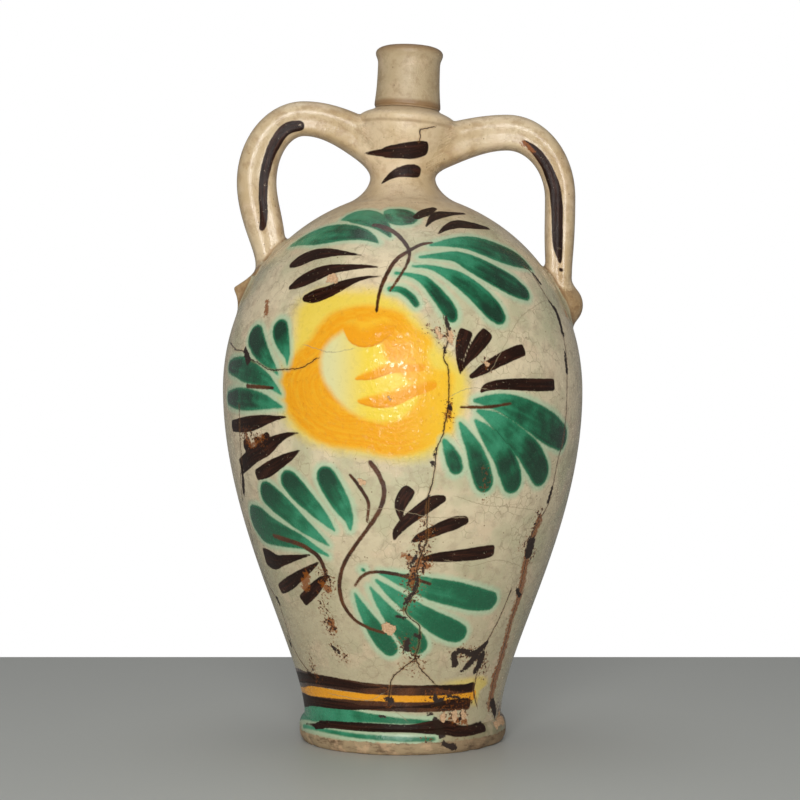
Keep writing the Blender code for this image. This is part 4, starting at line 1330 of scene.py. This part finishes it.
# Noises in the glaze, as (size in mm, detail, roughness)
noises = {
    "wobble": (3, 4, 0.55), "fine": (0.9, 2, 0.55), "torn": (2, 4, 0.7), "broad": (38, 3, 0.55),
    "blush": (17, 3, 0.55), "grime": (6, 5, 0.7), "specked": (9, 3, 0.55), "crazed": (14, 3, 0.55),
    "rubbed": (4, 5, 0.7), "cloud": (11, 2, 0.5), "pinhole": (1.6, 4, 0.75), "fleck": (1.5, 3, 0.6),
    "jitter": (2.2, 4, 0.7), "patch": (7, 3, 0.55), "chipped": (2.6, 3, 0.6), "dull": (5, 3, 0.55),
    "ripple": (4.5, 3, 0.55), "dent": (9, 2, 0.5), "ridge": (3.4, 2, 0.5), "spot": (2.6, 2, 0.5),
}


# The look turns into the one above it just below the neck, where two pieces share one skin. Sizes
# are in mm. A fade runs from 0 to 1 between two values, or between the two that follow them.
def makeGlaze(name, look, above=None, bareBelow=None):
    material, tree = newMaterial(name)
    add = partial(addNode, tree)
    colours = {key: hexColour(value) for key, value in glazeColours.items()}
    place = add("ShaderNodeTexCoord").outputs["Object"]
    place = add("scale", place, 1000)
    x, y, z = add("ShaderNodeSeparateXYZ", place).outputs
    layers = []
    for layer in (*paint, "flower", "lobe", "joint"):
        stored = add("ShaderNodeAttribute", attribute_name=layer).outputs["Vector"]
        layers.append(add("ShaderNodeSeparateXYZ", stored).outputs)
    (green, brown, washAt, orange, crack, hairline, chip, stain, fleck, flake,
     flowerAt, lobe, joint) = layers
    looked = {key: hexColour(value) if isinstance(value, str) else value for key, value in look.items()}
    if above:
        upper = add("fade", z, body["shoulderHeight"] - 24, body["shoulderHeight"] - 1)
        for key, value in above.items():
            if isinstance(value, str):
                looked[key] = add("mix", upper, looked[key], hexColour(value))
            else:
                looked[key] = add("MULTIPLY_ADD", upper, value - looked[key], looked[key])
    noise = {key: add("noise", place, 1 / size, *kind) for key, (size, *kind) in noises.items()}
    ragged = add("MULTIPLY_ADD", noise["wobble"], 2.4, -1.2)
    torn = add("SUBTRACT", noise["torn"], 0.5)
    # Tin glaze: uneven cream, greyer where it is thin, with grime and pin specks; painted shade darkens it
    # downwards
    # Painted shade: greyer and darker towards the bottom, in the thin and grime colours
    low = add("MULTIPLY", add("fade", z, 190, 30), looked["low"])
    thinAndShadeShare = add("MAXIMUM", add("fade", noise["broad"], 0.4, 0.62), low)
    colour = add("mix", thinAndShadeShare, looked["cream"], looked["thin"])
    colour = add("mix", add("MULTIPLY", low, 0.5), colour, looked["grime"])
    colour = add("mix", add("fade", noise["blush"], 0.52, 0.7, 0, 0.5), colour, colours["pinkCream"])
    grimeShare = add("MULTIPLY", add("fade", noise["grime"], 0.46, 0.66, 0, 0.55), looked["dirt"])
    colour = add("mix", grimeShare, colour, looked["grime"])
    speck = add("ShaderNodeTexVoronoi", place, 0.3)
    speck = add(
        "MULTIPLY", add("fade", speck, 0.16, 0.1), add("fade", noise["specked"], 0.5, 0.62, 0, 0.7))
    colour = add("mix", speck, colour, colours["speck"])
    # Crazing: a net of fine lines, drawn a little wider than real so that it shows
    bend = add("noise", place, 0.25).outputs["Color"]
    bent = add("ShaderNodeVectorMath", bend, (3, 3, 3), place, operation="MULTIPLY_ADD")
    net = add("ShaderNodeTexVoronoi", bent, 0.17, feature="DISTANCE_TO_EDGE")
    net = add("MULTIPLY", add("fade", net, 0.045, 0.01), looked["craze"])
    colour = add(
        "mix", add("MULTIPLY", net, add("fade", noise["crazed"], 0.42, 0.6)), colour, colours["craze"])
    # Darker at the joints: dirt and wear at the handles' ends and the lip, painted shade in the turned
    # grooves
    crease = add("MULTIPLY_ADD", ragged, 0.8, joint["X"])
    colour = add(
        "mix", add("MULTIPLY", add("fade", crease, 2.8, 0.4), looked["wearAndGrooveShade"]), colour, colours["worn"])
    # Flower: a pale wash, an orange ring brushed round it, a light middle
    swirl = add("ShaderNodeCombineXYZ", flowerAt["Y"], add("MULTIPLY", noise["broad"], 22))
    streak = add("noise", swirl, 1 / 1.5, 3, 0.6)
    washEdge = add("MULTIPLY_ADD", ragged, 1.6, flowerAt["X"])
    colour = add("mix", add("fade", washEdge, 3.4, -7, 0, 0.9), colour, colours["wash"])
    ringEdge = add("MULTIPLY_ADD", ragged, 0.7, flowerAt["Y"])
    ringColour = add(
        "mix", add("fade", streak, 0.36, 0.75, 0, 0.45), colours["orange"], colours["orangeThin"])
    ringColour = add("mix", add("fade", x, -6, 24, 0, 0.85), ringColour, colours["orangeThin"])
    rubbed = add("MULTIPLY", add("fade", noise["rubbed"], 0.56, 0.72, 0, 0.55), add("fade", z, 150, 205))
    ringColour = add("mix", rubbed, ringColour, colours["orangeDeep"])
    colour = add("mix", add("fade", ringEdge, 1.4, -3.6), colour, ringColour)
    middleColour = add("mix", add("fade", x, -42, -16), colours["middle"], colours["wash"])
    middleEdge = add("MULTIPLY_ADD", ragged, 0.5, flowerAt["Z"])
    colour = add("mix", add("fade", middleEdge, 1.2, -3.4), colour, middleColour)
    lobeEdge = add("MULTIPLY_ADD", ragged, 0.4, lobe["X"])
    lobeColour = add("mix", add("fade", lobe["Y"], -1.2, 0.1), colours["orangeThin"], colours["orange"])
    lobeRim = add("MULTIPLY", add("fade", lobeEdge, -1.8, -0.1, 0, 0.6), add("fade", lobe["Y"], 0.2, 0.8))
    lobeRim = add("MULTIPLY", lobeRim, add("fade", x, 0, -12))
    lobeColour = add("mix", lobeRim, lobeColour, colours["orangeDeep"])
    soft = add("fade", lobe["Y"], 0, -0.9)
    lobeShare = add("mix", soft, add("fade", lobeEdge, 0.3, -0.6), add("fade", lobeEdge, 0.6, -2.6))
    colour = add("mix", lobeShare, colour, lobeColour)
    # The yellow ran out at the band's right end, further above it than below
    spread = add("MULTIPLY_ADD", add("fade", z, 33, 37), -5, add("ADD", orange["X"], ragged))
    bleed = add("MULTIPLY", add("fade", spread, 5, 0.5, 0, 0.55), add("fade", x, 14, 36))
    colour = add("mix", bleed, colour, colours["wash"])
    bandEdge = add("MULTIPLY_ADD", ragged, 0.3, orange["X"])
    colour = add("mix", add("fade", bandEdge, 0.3, -0.3), colour, colours["orange"])
    # Copper green: runs out in a pale halo, thin in the middle of a stroke, dark where it pooled
    brush = add("ShaderNodeCombineXYZ", green["Y"], add("MULTIPLY", green["Z"], 5))
    load = add("noise", brush, 1 / 3.6, 2, 0.5)
    cloud = add("MULTIPLY_ADD", noise["cloud"], 0.55, 0.22)
    edge = add("MULTIPLY_ADD", ragged, 0.45, green["X"])
    colour = add(
        "mix", add("fade", add("ADD", green["X"], ragged), 4.2, 0.2, 0, 0.75), colour, colours["halo"])
    flow = add("MULTIPLY", add("FRACT", add("MULTIPLY", green["Z"], 0.5)), 2)
    depth = add("MULTIPLY_ADD", load, 0.34, add("MULTIPLY_ADD", flow, 0.44, cloud))
    # The lower leaves were painted with a drier brush
    pooled = add("MULTIPLY_ADD", add("fade", z, 110, 170), 0.6, 0.4)
    pooled = add("MULTIPLY", pooled, add("fade", depth, 0.8, 1.1))
    pooled = add("MULTIPLY", pooled, add("fade", edge, -0.5, -2.4))
    paintColour = add(
        "mix", add("fade", depth, 0.98, 0.66, 0, 0.85), colours["green"], colours["greenThin"])
    paintColour = add("mix", pooled, paintColour, colours["greenDeep"])
    colour = add("mix", add("fade", edge, 0.5, -0.9), colour, paintColour)
    washEdge = add("MULTIPLY_ADD", ragged, 0.4, washAt["X"])
    washColour = add("mix", add("fade", cloud, 0.62, 0.4, 0, 0.75), colours["brownWash"], colours["brown"])
    colour = add("mix", add("fade", washEdge, 0.4, -0.4), colour, washColour)
    # Manganese brown: thick and dark, streaked along the stroke, with pinholes down to the glaze
    brush = add("ShaderNodeCombineXYZ", brown["Y"], add("MULTIPLY", brown["Z"], 4))
    load = add("noise", brush, 1 / 1.5, 3, 0.6)
    edge = add("MULTIPLY_ADD", ragged, 0.35, brown["X"])
    paintColour = add("mix", add("fade", load, 0.44, 0.68, 0, 0.75), colours["brown"], colours["brownThin"])
    holes = add("fade", noise["pinhole"], 0.65, 0.69)
    brownShare = add(
        "MULTIPLY", add("fade", edge, 0.35, -0.35), add("SUBTRACT", 1, add("MULTIPLY", holes, 0.6)))
    colour = add("mix", brownShare, colour, paintColour)
    # Wear: rusty glue lines, cracks, chips down to the clay, dark flakes
    stainEdge = add("MULTIPLY_ADD", torn, 9, stain["X"])
    colour = add("mix", add("fade", stainEdge, 0.8, -0.5, 0, 0.9), colour, colours["amber"])
    within = add("MULTIPLY", add("fade", add("MULTIPLY_ADD", torn, 4, fleck["X"]), 2.5, -5), 0.15)
    flecks = add("ADD", noise["fleck"], within)
    onFleck = add("fade", fleck["X"], 3.5, 1)
    colour = add(
        "mix", add("MULTIPLY", onFleck, add("fade", flecks, 0.6, 0.66, 0, 0.8)), colour, colours["amber"])
    fleckShare = add("MULTIPLY", onFleck, add("fade", flecks, 0.66, 0.7))
    colour = add("mix", fleckShare, colour, colours["flake"])
    jitter = add("MULTIPLY_ADD", noise["jitter"], 2.2, -1.1)
    broken = add("fade", noise["patch"], 0.56, 0.7)
    lineAway = add("ABSOLUTE", add("ADD", crack["Y"], jitter))
    onCrack = add("fade", crack["X"], 2.6, 2)
    colour = add(
        "mix", add("MULTIPLY", onCrack, add("fade", lineAway, 1.6, 0.2, 0, 0.35)), colour,
        colours["rust"])
    crackShare = add(
        "MULTIPLY", onCrack,
        add("fade", add("SUBTRACT", lineAway, add("MULTIPLY", broken, 0.22)), 0.42, 0.12, 0, 0.9))
    colour = add("mix", crackShare, colour, colours["crack"])
    hairAway = add("ABSOLUTE", add("ADD", hairline["Y"], jitter))
    hairShare = add(
        "MULTIPLY", add("fade", hairline["X"], 2.6, 2), add("fade", hairAway, 0.4, 0.05, 0, 0.6))
    colour = add("mix", hairShare, colour, colours["craze"])
    chipEdge = add("MULTIPLY_ADD", noise["chipped"], 5, add("ADD", chip["X"], -2.2))
    chipShare = add("fade", chipEdge, 0.25, -0.25)
    chipColour = add(
        "mix", add("fade", noise["fine"], 0.36, 0.66, 0, 0.5), colours["terracotta"], colours["rust"])
    colour = add("mix", chipShare, colour, chipColour)
    flakeEdge = add("MULTIPLY_ADD", torn, 4.5, flake["X"])
    flakeShare = add("fade", flakeEdge, 0.4, -0.2)
    colour = add("mix", flakeShare, colour, colours["flake"])
    rough = add("MULTIPLY_ADD", noise["dull"], 0.16, looked["satin"])
    rough = add("MULTIPLY_ADD", grimeShare, 0.15, rough)
    rough = add("MULTIPLY_ADD", brownShare, 0.14, rough)
    inFlower = add("fade", flowerAt["X"], 1, -3)
    rough = add("MULTIPLY_ADD", inFlower, -0.1, rough)
    rough = add("MAXIMUM", rough, add("MULTIPLY", add("MAXIMUM", chipShare, flakeShare), 0.8))
    if bareBelow is not None:
        level = add("MULTIPLY_ADD", ragged, 1.2, z)
        bare = add("fade", level, bareBelow + 0.3, bareBelow - 0.5)
        stained = add("noise", add("stretch", place, (0.3, 0.3, 1)), 1 / 4, 5, 0.72)
        bareColour = add(
            "mix", add("fade", stained, 0.44, 0.66, 0, 0.8), colours["bareClay"], colours["bareDark"])
        bareColour = add(
            "mix", add("fade", noise["patch"], 0.5, 0.64, 0, 0.5), bareColour, colours["terracotta"])
        bareColour = add("mix", add("fade", x, 8, 46, 0, 0.42), bareColour, colours["bareDark"])
        bareColour = add("mix", flakeShare, bareColour, colours["flake"])
        colour = add("mix", bare, colour, bareColour)
        rough = add("MAXIMUM", rough, add("MULTIPLY", bare, 0.85))
    # Relief in m: the brushed coat's ripple, cracks and chips cut in
    height = add("MULTIPLY", noise["ripple"], 0.00014)
    height = add("MULTIPLY_ADD", noise["fine"], add("MULTIPLY", looked["grain"], 0.00005), height)
    height = add("MULTIPLY_ADD", torn, add("MULTIPLY_ADD", looked["grain"], 0.00004, 0.00007), height)
    rings = add("noise", add("stretch", place, (0.12, 0.12, 1)), 1 / 3.5, 2, 0.5)
    height = add("MULTIPLY_ADD", rings, 0.00007, height)
    # Pulled clay keeps the fingers' shallow dents, which break its long highlights
    dents = add("MULTIPLY", add("SUBTRACT", looked["grain"], 1), 0.00009)
    height = add("MULTIPLY_ADD", noise["dent"], dents, height)
    # The flower's thick paint stands up in short brushed ridges that break the light into glints
    ridges = add("MULTIPLY_ADD", streak, 0.45, noise["ridge"])
    height = add("MULTIPLY_ADD", ridges, add("MULTIPLY", add("fade", flowerAt["X"], 0, -2), 0.0002), height)
    height = add("MULTIPLY_ADD", add("MAXIMUM", crackShare, chipShare), -0.00035, height)
    # Dark and yellow paint are duller than the cream glaze, apart from single glossy spots
    gloss = add("MULTIPLY_ADD", brownShare, -0.36, 0.5)
    gloss = add("MULTIPLY_ADD", inFlower, -0.38, gloss)
    spots = add("MULTIPLY", add("fade", noise["spot"], 0.58, 0.64), inFlower)
    gloss = add("MULTIPLY_ADD", spots, 0.55, gloss)
    bump = add("ShaderNodeBump", {"Strength": 1, "Distance": 1, "Height": height})
    shader = add("ShaderNodeBsdfPrincipled", {
        "Base Color": colour, "Roughness": rough, "Normal": bump, "IOR": 1.5,
        "Specular IOR Level": gloss})
    add("ShaderNodeOutputMaterial", {"Surface": shader})
    return material


# Each glaze's look: cream where thick and where thin, dirt rubbed in, wear and painted groove shade at
# # the creases, how much crazing shows, roughness, how grainy the surface is, and how far painted shade
# darkens it further down
looks = {
    "body": {
        "cream": "#DECDAB", "thin": "#C0BA96", "grime": "#A08C70", "dirt": 0.8, "wearAndGrooveShade": 0.6,
        "craze": 0.6, "satin": 0.17, "grain": 1.0, "low": 0.8},
    "neck": {
        "cream": "#DCC5A1", "thin": "#CDB48C", "grime": "#A8845C", "dirt": 0.7, "wearAndGrooveShade": 0.8,
        "craze": 0.12, "satin": 0.24, "grain": 3.4, "low": 0.0},
    "tube": {
        "cream": "#BEA986", "thin": "#B09A76", "grime": "#8E704C", "dirt": 0.8, "wearAndGrooveShade": 0.9,
        "craze": 0.08, "satin": 0.36, "grain": 4.6, "low": 0.0},
    "handle": {
        "cream": "#D9C4A1", "thin": "#C4AA82", "grime": "#9A774F", "dirt": 0.9, "wearAndGrooveShade": 0.8,
        "craze": 0.10, "satin": 0.14, "grain": 3.4, "low": 0.0},
    "lump": {
        "cream": "#C4A880", "thin": "#A88A62", "grime": "#7C5A38", "dirt": 1.0, "wearAndGrooveShade": 0.9,
        "craze": 0.05, "satin": 0.30, "grain": 4.0, "low": 0.0},
    "foot": {
        "cream": "#AC9E7C", "thin": "#8E8766", "grime": "#7A684C", "dirt": 0.9, "wearAndGrooveShade": 0.8,
        "craze": 0.2, "satin": 0.26, "grain": 2.0, "low": 0.0},
}
glazes = {
    "body": makeGlaze("tin glaze over thrown earthenware", looks["body"], looks["neck"]),
    "neck": makeGlaze("tin glaze on the neck, warm and worn", looks["neck"]),
    "tube": makeGlaze("tin glaze rubbed dull on the mouth", looks["tube"]),
    "handle": makeGlaze("tin glaze on the handles, thick and glossy", looks["handle"]),
    "lump": makeGlaze("tin glaze worn thin on the handles' ends", looks["lump"]),
    "foot": makeGlaze("tin glaze ending over the bare foot", looks["foot"], None, foot["bareBelow"]),
}
# Each CAD node's piece, its glaze and its slot
pieces = {
    "body": (bodyPiece, "body", "body_glaze"),
    "foot_ring": (footPiece, "foot", "foot_clay"),
    "neck": (neckPiece, "neck", "neck_glaze"),
    "collar": (collarPiece, "neck", "neck_glaze"),
    "mouth_tube": (tubePiece, "tube", "neck_glaze"),
    "left_handle": (leftPiece, "handle", "handle_glaze"),
    "right_handle": (rightPiece, "handle", "handle_glaze"),
    "left_handle_nub": (nubPiece, "lump", "handle_glaze"),
    "right_handle_boss": (bossPiece, "lump", "handle_glaze"),
}
for node, (piece, glaze, slot) in pieces.items():
    piece.data.materials.clear()
    piece.data.materials.append(glazes[glaze])
    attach(piece, "root")
    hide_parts(node)
print("scene: pieces ride")


# Stage: a plain pale table top that ends behind the jug, in front of a white backdrop
table = {"edge": 0.355, "near": -2.2, "half": 2.6, "colour": "#C6C8C3", "roughness": 0.45}


def makeTable():
    material, tree = newMaterial("satin painted table top")
    shader = addNode(tree, "ShaderNodeBsdfPrincipled", {
        "Base Color": hexColour(table["colour"]), "Roughness": table["roughness"]})
    addNode(tree, "ShaderNodeOutputMaterial", {"Surface": shader})
    mesh = bpy.data.meshes.new("table_top")
    x, near, far = table["half"], table["near"], table["edge"]
    mesh.from_pydata([(-x, near, 0), (x, near, 0), (x, far, 0), (-x, far, 0)], [], [(0, 1, 2, 3)])
    mesh.materials.append(material)
    item = bpy.data.objects.new("table_top", mesh)
    bpy.context.scene.collection.objects.link(item)


# White behind the jug, a dim room in front of it, and less of the white in reflections. One runs
# into the other between two shares of the way back. The camera always sees white.
surroundings = {"room": 0.14, "backdrop": 0.36, "shine": 0.24, "from": -0.15, "to": 0.45}


def makeWorld():
    world = bpy.data.worlds.new("white backdrop")
    world.use_nodes = True
    world.node_tree.nodes.clear()
    add = partial(addNode, world.node_tree)
    seen = add("ShaderNodeLightPath").outputs
    away = add("ShaderNodeTexCoord").outputs["Generated"]
    behind = add("ShaderNodeSeparateXYZ", away).outputs["Y"]
    level, shine = [
        add("fade", behind, *[surroundings[key] for key in ("from", "to", "room", far)])
        for far in ("backdrop", "shine")]
    level = add("ShaderNodeMix", seen["Is Glossy Ray"], level, shine)
    level = add("MAXIMUM", level, seen["Is Camera Ray"])
    light = add("ShaderNodeBackground", {"Color": (1, 1, 1, 1), "Strength": level})
    add("ShaderNodeOutputWorld", {"Surface": light})
    bpy.context.scene.world = world


# Lamps: place in m, width and height in m, watts
lamps = {
    "frontSoftbox": ((-0.10, -1.55, 0.46), (0.60, 0.75), 20.5),
    "overheadSoftbox": ((-0.10, 0.05, 1.75), (0.90, 0.90), 3),
}


def makeLamps():
    for name, (place, size, watts) in lamps.items():
        data = bpy.data.lights.new(name, "AREA")
        data.shape = "RECTANGLE"
        data.size, data.size_y = size
        data.energy = watts
        lamp = bpy.data.objects.new(name, data)
        lamp.location = place
        # Each lamp is turned to the jug's middle
        x, y, z = -place[0], -place[1], 0.2 - place[2]
        lamp.rotation_euler = (math.acos(-z / math.hypot(x, y, z)), 0, math.atan2(-x, y))
        bpy.context.scene.collection.objects.link(lamp)


makeTable()
makeWorld()
makeLamps()
bpy.context.scene.view_settings.view_transform = "Standard"
print("scene: stage and lamps")
